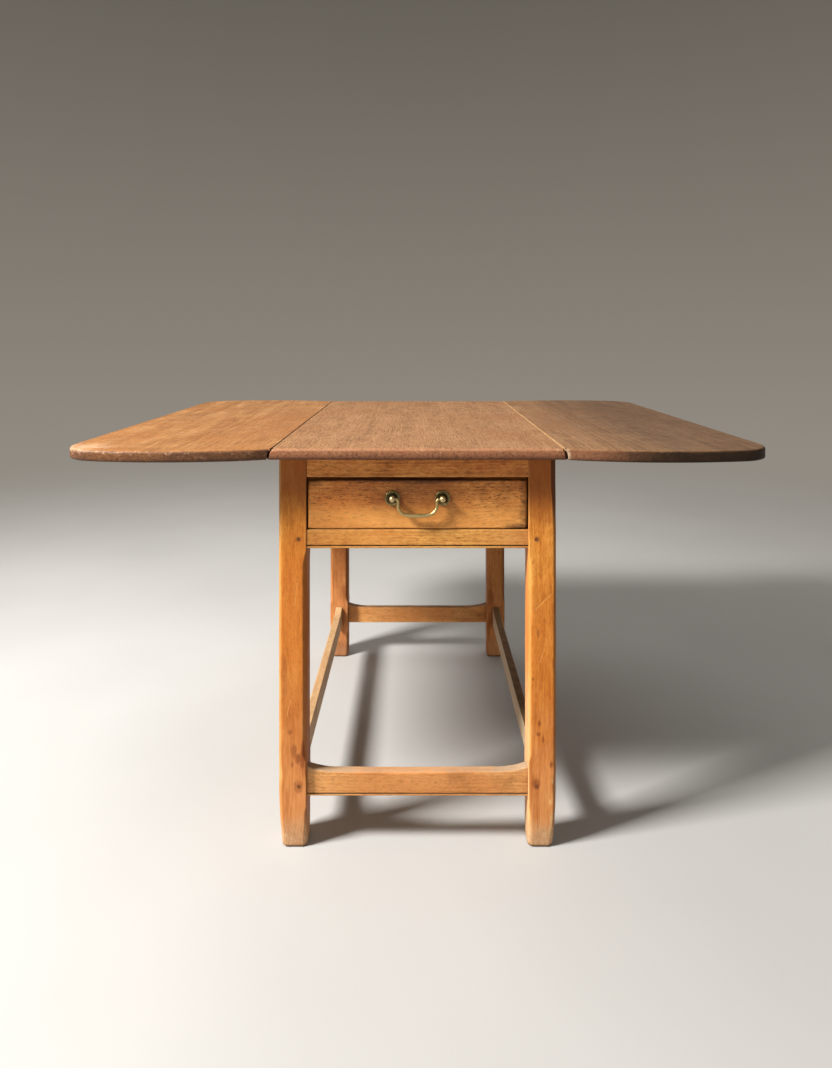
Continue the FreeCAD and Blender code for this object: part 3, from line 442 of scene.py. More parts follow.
# =====================================================================
# Mesh building
# =====================================================================
def add_piece(name, verts, faces, mat, body, node, wn=True, sharp=50.0):
    me = bpy.data.meshes.new(name)
    me.from_pydata([tuple(float(c) * MM for c in v) for v in verts], [], faces)
    me.validate()
    bm = bmesh.new()
    bm.from_mesh(me)
    bmesh.ops.recalc_face_normals(bm, faces=bm.faces)
    bm.to_mesh(me)
    bm.free()
    for p in me.polygons:
        p.use_smooth = True
    me.set_sharp_from_angle(angle=math.radians(sharp))
    ob = bpy.data.objects.new(name, me)
    bpy.context.scene.collection.objects.link(ob)
    me.materials.append(mat)
    if wn:
        w = ob.modifiers.new("wn", "WEIGHTED_NORMAL")
        w.keep_sharp = True
        w.weight = 60
    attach(ob, body)
    if node:
        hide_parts(node)
    return ob


def loft(sections):
    """Closed tube through rings of equal length, with flat ends."""
    n = len(sections[0])
    verts = [p for s in sections for p in s]
    faces = []
    for i in range(len(sections) - 1):
        for j in range(n):
            a, b = i * n + j, i * n + (j + 1) % n
            faces.append((a, b, b + n, a + n))
    faces.append(tuple(range(n))[::-1])
    faces.append(tuple(range((len(sections) - 1) * n, len(sections) * n)))
    return verts, faces


def bez(p0, c, p1, n):
    out = []
    for i in range(n):
        t = i / (n - 1)
        out.append(((1 - t) ** 2 * p0[0] + 2 * t * (1 - t) * c[0] + t * t * p1[0],
                    (1 - t) ** 2 * p0[1] + 2 * t * (1 - t) * c[1] + t * t * p1[1]))
    return out


def corner_pts(p, u, v, c, e):
    """Eased chamfer at corner p: u points back along the side we come from,
    v along the side we leave on. c is the chamfer, e the easing."""
    A = (p[0] + u[0] * c, p[1] + u[1] * c)
    B = (p[0] + v[0] * c, p[1] + v[1] * c)
    dx, dy = B[0] - A[0], B[1] - A[1]
    L = math.hypot(dx, dy) or 1.0
    q = min(e * 0.7, L * 0.42)
    d = (dx / L, dy / L)
    p0 = (A[0] + u[0] * e, A[1] + u[1] * e)
    p1 = (A[0] + d[0] * q, A[1] + d[1] * q)
    p2 = (B[0] - d[0] * q, B[1] - d[1] * q)
    p3 = (B[0] + v[0] * e, B[1] + v[1] * e)
    return bez(p0, A, p1, 4) + bez(p2, B, p3, 4)


# ---------------------------------------------------------------- legs
def stop(z, z0, z1, c, run_lo, run_hi):
    """Chamfer width of a stopped chamfer at height z."""
    return c * smooth((z - z0) / run_lo) * smooth((z1 - z) / run_hi)


def leg_shape(sx, sy, seed):
    x0, x1, y0, y1 = 196.5, 246.8, -405.0, -356.0
    zs = [0.0, 0.5, 1.2, 2.2, 3.5, 5.0, 7.5, 11.0]
    z = 16.0
    while z < 690.0:
        zs.append(z)
        z += 6.5
    zs += [690.0, 694.9]
    zs = np.array(zs)
    rng = np.random.RandomState(seed)
    nicks = [[(rng.uniform(20, 640), rng.uniform(5, 13), rng.uniform(0.4, 1.3)) for _ in range(5)]
             for _ in range(4)]
    sec = []
    for z in zs:
        q = max(0.0, (120.0 - z) / 120.0)
        xo = x1 - 6.0 * q * q
        yo = y0 + 3.0 * q * q
        R = 3.6
        ins = R - math.sqrt(max(0.0, R * R - (R - z) ** 2)) if z < R else 0.0
        ins *= 0.85
        xi, yi = x0 + ins * 0.8, y1 - ins * 0.8
        xo, yo = xo - ins, yo + ins
        cs = []
        for ci in range(4):
            if ci == 0:
                c = 4.6 + (5.4 * float(smooth((z - 550.0) / 120.0)) if sx > 0 and sy > 0 else 0.0)
            else:
                c = max(stop(z, 142.0, 540.0, 4.6 if ci == 1 and sx > 0 else 6.0, 30.0, 42.0), stop(z, -60.0, 84.0, 3.6, 20.0, 26.0))
            c = max(c, 1.3)
            c += 0.40 * float(line_noise(z / 46.0, seed + ci * 7)[0]) + 0.18 * float(line_noise(z / 11.0, seed + 50 + ci)[0])
            for zc, w, dpt in nicks[ci]:
                c += dpt * math.exp(-((z - zc) / w) ** 2)
            if z < 40:
                c += 2.0 * (1 - z / 40.0)
            cs.append(max(0.7, c))
        E = [min(max(0.75 * q, 1.0), 4.2 - 2.0 * float(smooth((q - 5.5) / 3.0))) for q in (cs[0], cs[3], cs[2], cs[1])]
        # order: outer front, outer back, inner back, inner front (seen from above, anticlockwise)
        P = [(xo, yo), (xo, yi), (xi, yi), (xi, yo)]
        C = [cs[0], cs[3], cs[2], cs[1]]
        U = [(-1, 0), (0, -1), (1, 0), (0, 1)]
        W = [(0, 1), (-1, 0), (0, -1), (1, 0)]
        ring = []
        for i in range(4):
            cp = corner_pts(P[i], U[i], W[i], C[i], E[i])
            ring += cp
            nxt = corner_pts(P[(i + 1) % 4], U[(i + 1) % 4], W[(i + 1) % 4], C[(i + 1) % 4], E[(i + 1) % 4])[0]
            a = cp[-1]
            for t in (0.2, 0.5, 0.8):
                ring.append((a[0] + (nxt[0] - a[0]) * t, a[1] + (nxt[1] - a[1]) * t))
        ring = np.array([(p[0], p[1], z) for p in ring])
        cen = np.array([(xi + xo) / 2, (yi + yo) / 2, 0.0])
        dirn = ring - cen
        dirn[:, 2] = 0
        dirn /= np.linalg.norm(dirn, axis=1)[:, None]
        w = 0.28 * fbm(ring / np.array([38.0, 38.0, 60.0]), seed + 3, 3) + 0.10 * fbm(ring / 9.0, seed + 5, 2)
        ring = ring + dirn * (w - 0.16)[:, None]
        ring[:, 0] *= sx
        ring[:, 1] *= sy
        sec.append(ring)
    return loft(sec)


# ----------------------------------------------------- bars (rails, stretchers)
def bar_shape(half_len, t0, t1, z0f, z1f, radii, along, seed, groove=None, step=7.0,
              wave=0.25, lower_wave=0.0, flip=1):
    """Bar along X or Y. t0 is the outer face, t1 the inner one.
    radii = functions of s giving the easing of (outer bottom, outer top, inner top, inner bottom)."""
    n = max(8, int(round(2 * half_len / step)))
    ss = np.linspace(-half_len, half_len, n + 1)
    so = 1.0 if t1 > t0 else -1.0
    sec = []
    for s in ss:
        z0, z1 = z0f(s), z1f(s)
        if lower_wave:
            z0 += lower_wave * abs(float(line_noise(s / 60.0, seed + 91)[0]))
        r = [max(0.35, f(s) * (1 + 0.30 * float(line_noise(s / 22.0, seed + 11 * i)[0]))) for i, f in enumerate(radii)]
        ring = []
        # outer face bottom -> outer face top -> inner top -> inner bottom
        P = [(t0, z0), (t0, z1), (t1, z1), (t1, z0)]
        U = [(so, 0), (0, -1), (-so, 0), (0, 1)]
        W = [(0, 1), (so, 0), (0, -1), (-so, 0)]
        for i in range(4):
            p, u, v, c = P[i], U[i], W[i], r[i]
            ring += bez((p[0] + u[0] * c, p[1] + u[1] * c), p, (p[0] + v[0] * c, p[1] + v[1] * c), 6)
            if i == 0 and groove:
                gz, gw, gd = groove
                ring += [(t0, z0 + gz - 0.25), (t0 + so * gd, z0 + gz + 0.05),
                         (t0 + so * gd, z0 + gz + gw - 0.05), (t0, z0 + gz + gw + 0.3)]
            a = ring[-1]
            b = (P[(i + 1) % 4][0] + U[(i + 1) % 4][0] * r[(i + 1) % 4],
                 P[(i + 1) % 4][1] + U[(i + 1) % 4][1] * r[(i + 1) % 4])
            for t in (0.25, 0.75):
                ring.append((a[0] + (b[0] - a[0]) * t, a[1] + (b[1] - a[1]) * t))
        if along == "x":
            R = np.array([(s, p[0], p[1]) for p in ring])
        else:
            R = np.array([(p[0], s, p[1]) for p in ring])
        cen = R.mean(0)
        d = R - cen
        d[:, 0 if along == "x" else 1] = 0
        d /= (np.linalg.norm(d, axis=1)[:, None] + 1e-9)
        w = wave * (fbm(R / 42.0, seed + 2, 3) - 0.6) + 0.08 * fbm(R / 8.0, seed + 4, 2)
        if abs(s) < half_len - 1:
            R = R + d * w[:, None]
        sec.append(R)
    return loft(sec)


def swept_top(half_len, top=131.5, end=141.0, sweep=56.0):
    rise = end - top
    rho = (rise ** 2 + sweep ** 2) / (2 * rise)

    def f(s):
        d = abs(s) - (half_len - sweep)
        if d <= 0:
            return top
        return top + rho - math.sqrt(rho * rho - min(d, sweep) ** 2)
    return f


# -------------------------------------------------------------- boards
def edge_in(z, rt, rb, zt=715.0, zb=695.0):
    """How far the rounded edge lies inside the outline at height z."""
    d = 0.0
    if z > zt - rt:
        d = max(d, rt - math.sqrt(max(0.0, rt * rt - (z - zt + rt) ** 2)))
    if z < zb + rb:
        d = max(d, rb - math.sqrt(max(0.0, rb * rb - (zb + rb - z) ** 2)))
    return d


LEVELS = [695.0, 695.12, 695.5, 696.2, 697.2, 698.5, 700.2, 702.2, 704.2, 706.2, 708.0, 709.4, 710.4,
          711.0, 711.6, 712.4, 713.2, 713.9, 714.4, 714.75, 714.95, 715.0]
JX, PZ = 251.0, 698.5


def hollow(z):
    """Inset of the leaf's hollow from x = 251.4."""
    if z <= PZ:
        return 12.5
    q = 12.9 ** 2 - (z - PZ) ** 2
    return max(0.0, math.sqrt(q) - 0.4) if q > 0 else 0.0


def ovolo(z):
    """Outward reach of the centre top's round from x = 251."""
    q = 12.5 ** 2 - (z - PZ) ** 2
    return math.sqrt(q) if (z < 711.0 and q > 0) else 0.0


def board(cols, levels, inset_a, seed, rt0, rb0, cap_in=7.0, top_pts=True):
    """Board from outline columns. Each column: (x, y, A, B, s, wear) where A moves
    with the joint profile and B with the eased edge."""
    verts, faces = [], []
    n = len(cols)
    s_all = np.array([c[4] for c in cols])
    rt = rt0 + 0.8 * line_noise(s_all / 45.0, seed + 1, 3) + np.array([c[5] for c in cols])
    for q in range(9):
        sc = (q * 0.61803 + 0.13 * seed) % 1.0 * s_all.max()
        rt += (1.2 + 1.4 * ((q * 37) % 7) / 7.0) * np.exp(-((s_all - sc) / (4.0 + 3.0 * (q % 4))) ** 2)
    rt = np.clip(rt, 1.6, 8.0)
    rb = np.clip(rb0 + 0.9 * line_noise(s_all / 60.0, seed + 2, 3), 2.0, 8.0)
    inn = 0.32 * (line_noise(s_all / 70.0, seed + 3, 2) + 0.9)
    for kz in levels:
        for i, (x, y, A, B, s, w) in enumerate(cols):
            a = inset_a(kz)
            b = edge_in(kz, rt[i], rb[i]) + inn[i]
            verts.append((x + A[0] * a + B[0] * b, y + A[1] * a + B[1] * b, kz))
    m = len(levels)
    for kz in range(m - 1):
        for i in range(n):
            a, b = kz * n + i, kz * n + (i + 1) % n
            faces.append((a, b, b + n, a + n))
    # broad upper face in rings towards the middle, gently uneven; flat underside
    top = np.array(verts[(m - 1) * n:m * n])
    cx = 0.5 * (top[:, 0].min() + top[:, 0].max())
    cy = 0.5 * (top[:, 1].min() + top[:, 1].max())
    hx = 0.5 * (top[:, 0].max() - top[:, 0].min())
    hy = 0.5 * (top[:, 1].max() - top[:, 1].min())
    prev = (m - 1) * n
    for q in (0.0, 0.05, 0.14, 0.27, 0.42, 0.58, 0.74, 0.88):
        fx, fy = (1 - cap_in / hx) * (1 - q), (1 - cap_in / hy) * (1 - q)
        ring = np.stack([cx + (top[:, 0] - cx) * fx, cy + (top[:, 1] - cy) * fy, top[:, 2]], 1)
        dip = 0.5 * (fbm(ring / np.array([90.0, 150.0, 50.0]), seed + 9, 3) + 0.8)
        ring[:, 2] -= np.clip(dip, 0.0, 1.0) * min(1.0, 0.1 + q * 6.0)
        base = len(verts)
        verts += [tuple(p) for p in ring]
        for i in range(n):
            j = (i + 1) % n
            faces.append((prev + i, prev + j, base + j, base + i))
        prev = base
    faces.append(tuple(prev + i for i in range(n)))
    faces.append(tuple(range(n))[::-1])
    return verts, faces


def leaf_cols(side, notch):
    """Outline of a leaf, anticlockwise from the inner front corner (right leaf);
    side = -1 mirrors it. notch wears the inner front corner back."""
    def depth(y):
        """The hollow runs out shallow at its front end."""
        w0 = 0.50 if side < 0 else 0.46
        return w0 + (1 - w0) * float(smooth((y + 445.0) / 15.0))

    x0, x1, yd, bow, r = 251.4, 617.0, 445.0, 27.6, 74.0
    xm, half = 0.5 * (x0 + x1), 0.5 * (x1 - x0)
    rb = (half ** 2 + bow ** 2) / (2 * bow)
    cyb = -(yd + bow) + rb
    cx = x1 - r
    cy = cyb - math.sqrt((rb - r) ** 2 - (cx - xm) ** 2)
    ux, uy = (cx - xm) / (rb - r), (cy - cyb) / (rb - r)
    a_t = math.atan2(uy, ux)
    a_s = math.atan2(-yd - cyb, x0 - xm)
    front = []
    nb = 52
    for i in range(nb + 1):
        a = a_s + (a_t - a_s) * i / nb
        front.append((xm + rb * math.cos(a), cyb + rb * math.sin(a), math.cos(a), math.sin(a)))
    nc = 22
    for i in range(1, nc + 1):
        a = a_t * (1 - i / nc)
        front.append((cx + r * math.cos(a), cy + r * math.sin(a), math.cos(a), math.sin(a)))
    ns = 92
    outer = [(x1, cy + (-2 * cy) * i / ns, 1.0, 0.0) for i in range(1, ns)]
    rear = [(x, -y, nx, -ny) for x, y, nx, ny in front[::-1]]
    cols = []
    s = 0.0
    # eased inner front corner
    pts = []
    for i in range(5):
        t = i / 4
        ang = t * math.pi / 2
        pts.append((x0 + 1.6 * (1 - math.cos(ang)), -yd + 1.6 * (1 - math.sin(ang)),
                    (1.0, 0.0), (0.22 * math.cos(ang), math.sin(ang))))
    run = []
    for i, (x, y, nx, ny) in enumerate(front + outer + rear):
        d = min(math.hypot(x - x0, y + yd), math.hypot(x - x0, y - yd))
        if d < 2.2:
            continue
        wa = max(0.0, 1 - (d - 1.6) / 30.0)
        run.append((x, y, (wa, 0.0), (-nx, -ny)))
    back = [(x, -y, A, (B[0], -B[1])) for x, y, A, B in pts[::-1]]
    ni = 96
    inner = []
    for i in range(1, ni):
        y = yd - 1.6 - (2 * yd - 3.2) * i / ni
        inner.append((x0, y, (1.0, 0.0), (0.22, 0.0)))
    allp = pts + run + back + inner
    prev = None
    for x, y, A, B in allp:
        if prev is not None:
            s += math.hypot(x - prev[0], y - prev[1])
        prev = (x, y)
        dx = 0.0
        if x < x0 + 40:
            fall = max(0.0, 1 - (x - x0) / 40.0)
            dx = fall * (notch[0] * math.exp(-((y + yd) / notch[1]) ** 1.0 if y > -yd else 0.0)
                         + 1.2 * math.exp(-(yd - y) / 18.0 if y < yd else 0.0))
        w = 0.0
        cols.append(((x + dx) * side, y, (A[0] * side * depth(y), A[1]), (B[0] * side, B[1]), s, w))
    return cols


def top_cols():
    """Outline of the centre top, anticlockwise from the left front corner."""
    x0, yd = 251.0, 445.0
    rc = 2.2
    cols = []

    def reach(x, y):
        """The round is worn short at its ends, most at the left front."""
        w0 = (0.34 if x < 0 else 0.30) if y < 0 else 0.60
        return w0 + (1 - w0) * float(smooth((yd - abs(y)) / 16.0))

    def corner(sx, sy, flip):
        out = []
        for i in range(5):
            ang = (i / 4) * math.pi / 2
            out.append((sx * (x0 - rc * (1 - math.cos(ang))), sy * (yd - rc * (1 - math.sin(ang))),
                        (sx * reach(sx, sy * yd), 0.0), (-sx * 0.2 * math.cos(ang), -sy * math.sin(ang))))
        return out[::-1] if flip else out

    def edge_front(sy, sgn):
        out = []
        n = 74
        for i in range(1, n):
            x = -sgn * (x0 - rc) + sgn * 2 * (x0 - rc) * i / n
            d = x0 - abs(x)
            wa = max(0.0, 1 - d / 30.0)
            wa *= reach(x, sy * yd)
            out.append((x, sy * yd, (math.copysign(wa, x), 0.0), (0.0, -sy)))
        return out

    def edge_side(sx, sgn):
        n = 96
        out = []
        for i in range(1, n):
            # closer together near the two ends
            q = 0.5 - 0.5 * math.cos(math.pi * i / n)
            y = -sgn * (yd - rc) + sgn * 2 * (yd - rc) * q
            out.append((sx * x0, y, (sx * reach(sx, y), 0.0), (-sx * 0.2, 0.0)))
        return out

    allp = (corner(-1, -1, False) + edge_front(-1, 1) + corner(1, -1, True) + edge_side(1, 1)
            + corner(1, 1, False) + edge_front(1, -1) + corner(-1, 1, True) + edge_side(-1, -1))
    s, prev = 0.0, None
    for x, y, A, B in allp:
        if prev is not None:
            s += math.hypot(x - prev[0], y - prev[1])
        prev = (x, y)
        cols.append((x, y, A, B, s, 0.0))
    return cols


def cut_boxes(ob, boxes):
    """Sinks plain pockets into a piece; boxes in millimetres."""
    me = bpy.data.meshes.new("cutter")
    bm = bmesh.new()
    for x0, x1, y0, y1, z0, z1 in boxes:
        vs = [bm.verts.new((x * MM, y * MM, z * MM)) for x in (x0, x1) for y in (y0, y1) for z in (z0, z1)]
        for f in ((0, 1, 3, 2), (4, 6, 7, 5), (0, 4, 5, 1), (2, 3, 7, 6), (0, 2, 6, 4), (1, 5, 7, 3)):
            bm.faces.new([vs[i] for i in f])
    bmesh.ops.recalc_face_normals(bm, faces=bm.faces)
    bm.to_mesh(me)
    bm.free()
    cut_with(ob, me)


def cut_with(ob, me):
    cutter = bpy.data.objects.new("cutter", me)
    bpy.context.scene.collection.objects.link(cutter)
    for m in ob.data.materials:
        me.materials.append(m)
    md = ob.modifiers.new("cut", "BOOLEAN")
    md.operation = "DIFFERENCE"
    md.solver = "EXACT"
    md.object = cutter
    others = [m for m in ob.modifiers if m.name != "cut"]
    for m in others:
        m.show_viewport = False
    bpy.context.view_layer.update()
    dg = bpy.context.evaluated_depsgraph_get()
    new = bpy.data.meshes.new_from_object(ob.evaluated_get(dg))
    ob.modifiers.remove(md)
    for m in others:
        m.show_viewport = True
    old = ob.data
    new.name = old.name + "_cut"
    mats = list(old.materials)
    ob.data = new
    new.materials.clear()
    new.materials.append(mats[0])
    for p in new.polygons:
        p.use_smooth = True
        p.material_index = 0
    new.set_sharp_from_angle(angle=math.radians(50))
    bpy.data.objects.remove(cutter)


def welded_copy(node):
    me = nodes[node].data.copy()
    bm = bmesh.new()
    bm.from_mesh(me)
    bmesh.ops.remove_doubles(bm, verts=bm.verts, dist=2e-6)
    bmesh.ops.recalc_face_normals(bm, faces=bm.faces)
    bm.to_mesh(me)
    bm.free()
    return me


# =====================================================================
# Wood pieces
# =====================================================================
def box_of(node):
    lo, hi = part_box(node)
    c = [(lo[i] + hi[i]) / 2 for i in range(3)]
    h = [(hi[i] - lo[i]) / 2 for i in range(3)]
    return c, h


LEG_MARKS = {
    "leg_front_left": ([((-0.219, -0.405, 0.173), (0.0066, 0.02, 0.014), 0.6), ((-0.212, -0.405, 0.160), (0.0058, 0.02, 0.010), 0.75),
                        ((-0.2035, -0.405, 0.168), (0.0048, 0.02, 0.030), 0.9), ((-0.222, -0.405, 0.148), (0.0030, 0.02, 0.006), 0.6), ((-0.211, -0.405, 0.110), (0.010, 0.02, 0.012), 0.5),
                        ((-0.226, -0.405, 0.206), (0.006, 0.02, 0.006), 0.5), ((-0.211, -0.405, 0.548), (0.008, 0.02, 0.008), 0.4),
                        ((-0.238, -0.405, 0.300), (0.008, 0.02, 0.060), 0.35)],
                       [((-0.232, 0.236), (-0.226, 0.262), 0.0016), ((-0.218, 0.430), (-0.214, 0.470), 0.0014)]),
    "leg_front_right": ([((0.211, -0.405, 0.114), (0.008, 0.02, 0.011), 0.7), ((0.2160, -0.405, 0.221), (0.0034, 0.02, 0.0056), 0.95),
                         ((0.2148, -0.405, 0.202), (0.0042, 0.02, 0.0042), 0.9), ((0.2228, -0.405, 0.193), (0.0026, 0.02, 0.0080), 0.8),
                         ((0.214, -0.405, 0.382), (0.0036, 0.02, 0.010), 0.55), ((0.211, -0.405, 0.548), (0.008, 0.02, 0.008), 0.4),
                         ((0.2372, -0.405, 0.149), (0.0034, 0.02, 0.0080), 1.0), ((0.205, -0.405, 0.300), (0.003, 0.02, 0.004), 0.7)],
                        [((0.208, 0.423), (0.236, 0.450), 0.0022), ((0.216, 0.330), (0.224, 0.352), 0.0020),
                         ((0.206, 0.492), (0.211, 0.490), 0.0014)]),
    "leg_rear_left": ([((-0.22, 0.360, 0.020), (0.05, 0.05, 0.030), 0.6), ((-0.205, 0.356, 0.180), (0.012, 0.02, 0.030), 0.5)], []),
    "leg_rear_right": ([((0.205, 0.356, 0.170), (0.012, 0.02, 0.030), 0.5)], []),
}


def leg_extra(nm):
    spots, lines = LEG_MARKS[nm]

    def extra(k, c, col, rgh, height):
        """Faded wood low down, painted shadow under the top, painted highlights and painted shade on the arrises and
        sides, stains and scratches, then bleached, bruised wood at the foot.
        """
        lowr = k.map(k.math("MULTIPLY_ADD", k.math("SUBTRACT", c["patchy"], 0.5), 0.20, c["pz"]), 0.05, 0.37 if "left" in nm else 0.31, 0.78, 0.0)
        col = k.mix(lowr, col, k.ramp(k.math("MULTIPLY_ADD", k.math("SUBTRACT", c["fibre"], 0.5), 0.6, c["mot"]),
                                      [(0.25, lin(168, 98, 52)), (0.5, lin(206, 138, 84)), (0.75, lin(224, 162, 106))]
                                      if nm != "leg_front_right" else
                                      [(0.25, lin(184, 110, 58)), (0.5, lin(222, 152, 92)), (0.75, lin(238, 176, 116))]))
        # painted shadow of the top: darker wood close under the top
        under_top_shade = k.map(k.math("MULTIPLY_ADD", k.math("SUBTRACT", c["patchy"], 0.5), 0.05, c["pz"]), 0.560 if "left" in nm else 0.548, 0.645 if "left" in nm else 0.632, 0.0, 0.78)
        col = k.mix(under_top_shade, col, k.mix(c["fibre"], lin(112, 54, 22), lin(154, 82, 36)))
        # arrises: painted highlight where they face front left, painted shade where they face right
        nx, ny, nz = k.split(k.new("ShaderNodeNewGeometry").outputs["Normal"])
        fwd = k.map(ny, -0.60, -0.22, 1.0, 0.0)
        if "front" in nm:
            col = k.mix(k.math("MULTIPLY", k.math("MULTIPLY", k.map(nx, -0.70, -0.12, 1.0, 0.0), fwd), 0.30), col, lin(228, 182, 110))
        shade = k.map(c["pz"], 0.55, 0.63, 0.55, 0.88)
        col = k.mix(k.math("MULTIPLY", k.math("MULTIPLY", k.map(nx, 0.16, 0.48, 0.0, 1.0), fwd), shade), col, lin(80, 40, 17))
        # painted shade on the right-facing sides of the left legs
        if "left" in nm:
            col = k.mix(k.map(nx, 0.72, 0.95, 0.0, 0.5), col, lin(112, 58, 28))
        if nm == "leg_front_left":
            mid = k.math("MULTIPLY", k.map(c["pz"], 0.10, 0.22, 0.0, 1.0), k.map(c["pz"], 0.42, 0.54, 1.0, 0.0))
            col = k.mix(k.math("MULTIPLY", mid, k.map(c["mot"], 0.3, 0.7, 0.34, 0.10)), col, lin(150, 86, 42))
        if nm == "leg_front_right":
            # inner side: painted shade high up, painted light low down; chips on the outer arris
            inn = k.map(nx, -0.95, -0.35, 1.0, 0.0)
            inner_side_light = k.map(k.math("MULTIPLY_ADD", k.math("SUBTRACT", c["patchy"], 0.5), 0.16, c["pz"]), 0.20, 0.36, 0.55, 0.0)
            col = k.mix(k.math("MULTIPLY", inn, k.map(c["pz"], 0.22, 0.40, 0.0, 0.66)), col, lin(178, 114, 54))
            col = k.mix(k.math("MULTIPLY", k.math("MULTIPLY", inn, inner_side_light), k.map(c["fine"], 0.35, 0.6, 0.6, 1.0)), col, lin(226, 188, 142))
            for cen, rad in (((0.2352, -0.403, 0.081), (0.0030, 0.02, 0.0062)), ((0.2375, -0.400, 0.056), (0.0034, 0.02, 0.016)),
                             ((0.2360, -0.400, 0.028), (0.0040, 0.02, 0.012)), ((0.2395, -0.400, 0.118), (0.0026, 0.02, 0.007))):
                chip = k.math("MULTIPLY", spot(k, c, cen, rad), k.map(c["fine"], 0.38, 0.58, 0.25, 1.0))
                col = k.mix(k.math("MULTIPLY", chip, 0.7), col, lin(234, 202, 142))
        for cen, rad, amt in spots:
            sk = k.math("MULTIPLY", spot(k, c, cen, rad), k.map(c["fibre"], 0.36, 0.62, 0.62, 1.0))
            col = k.mix(k.math("MULTIPLY", sk, 0.92 * amt), col, lin(112, 50, 22))
        for p, q, w in lines:
            sm = streak(k, c["px"], c["pz"], p, q, w)
            col = k.mix(k.math("MULTIPLY", sm, 0.22), col, lin(232, 178, 104))
            height = k.math("MULTIPLY_ADD", sm, -0.6, height)
        j = k.math("MULTIPLY_ADD", c["fibre"], 0.036, k.math("MULTIPLY_ADD", c["patchy"], 0.036, -0.030))
        zz = k.math("SUBTRACT", c["pz"], j)
        mk = k.map(zz, 0.010, 0.056, 1.0, 0.0)
        mk = k.math("MULTIPLY", mk, k.map(c["fine"], 0.3, 0.6, 0.7, 1.0))
        col = k.mix(k.math("MULTIPLY", mk, (0.92 if "right" in nm else 0.80) if "front" in nm else 0.35), col, lin(188, 149, 112))
        sp = k.noise(k.vec("MULTIPLY", c["P"], (420.0, 420.0, 300.0)), 1.0, 2.0, 0.6)
        col = k.mix(k.math("MULTIPLY", k.math("MULTIPLY", k.map(sp, 0.56, 0.68), mk), 0.5), col, lin(120, 84, 58))
        if "front" in nm:
            gr = k.noise(k.vec("MULTIPLY", c["P"], (520.0, 520.0, 110.0)), 1.0, 3.0, 0.65)
            col = k.mix(k.math("MULTIPLY", k.math("MULTIPLY", k.map(gr, 0.53, 0.66), mk), 0.6), col, lin(230, 202, 166))
        low = k.map(k.math("MULTIPLY_ADD", c["patchy"], -0.006, c["pz"]), -0.002, 0.003, 1.0, 0.0)
        col = k.mix(k.math("MULTIPLY", low, 0.7), col, lin(84, 56, 36))
        rgh = k.math("MULTIPLY_ADD", mk, 0.25, rgh)
        return col, rgh, height
    return extra


EDGE_HONEY = lin(238, 186, 112)
for i, (nm, sx, sy) in enumerate((("leg_front_left", -1, 1), ("leg_front_right", 1, 1),
                                  ("leg_rear_left", -1, -1), ("leg_rear_right", 1, -1))):
    c, h = box_of(nm)
    mat = wood("wood_" + nm, "z", 11 + i, HONEY if i < 2 else HONEY_RED, c, h, ring=0.0062,
               pith=(0.03 + 0.02 * i, -0.09), edge_tone=EDGE_HONEY, edge_wear=0.28, extra=leg_extra(nm),
               fleck=0.10, pore=0.14, fig=0.7, contrast=0.62, fibres=0.9, dapple=0.58, dash=0.42, stain=0.1, rough=0.50, coat=0.0, spec=0.16, mottle=1.35)
    v, f = leg_shape(sx, sy, 101 + 13 * i)
    add_piece(nm.replace("leg", "visual_leg"), v, f, mat, "frame", nm)

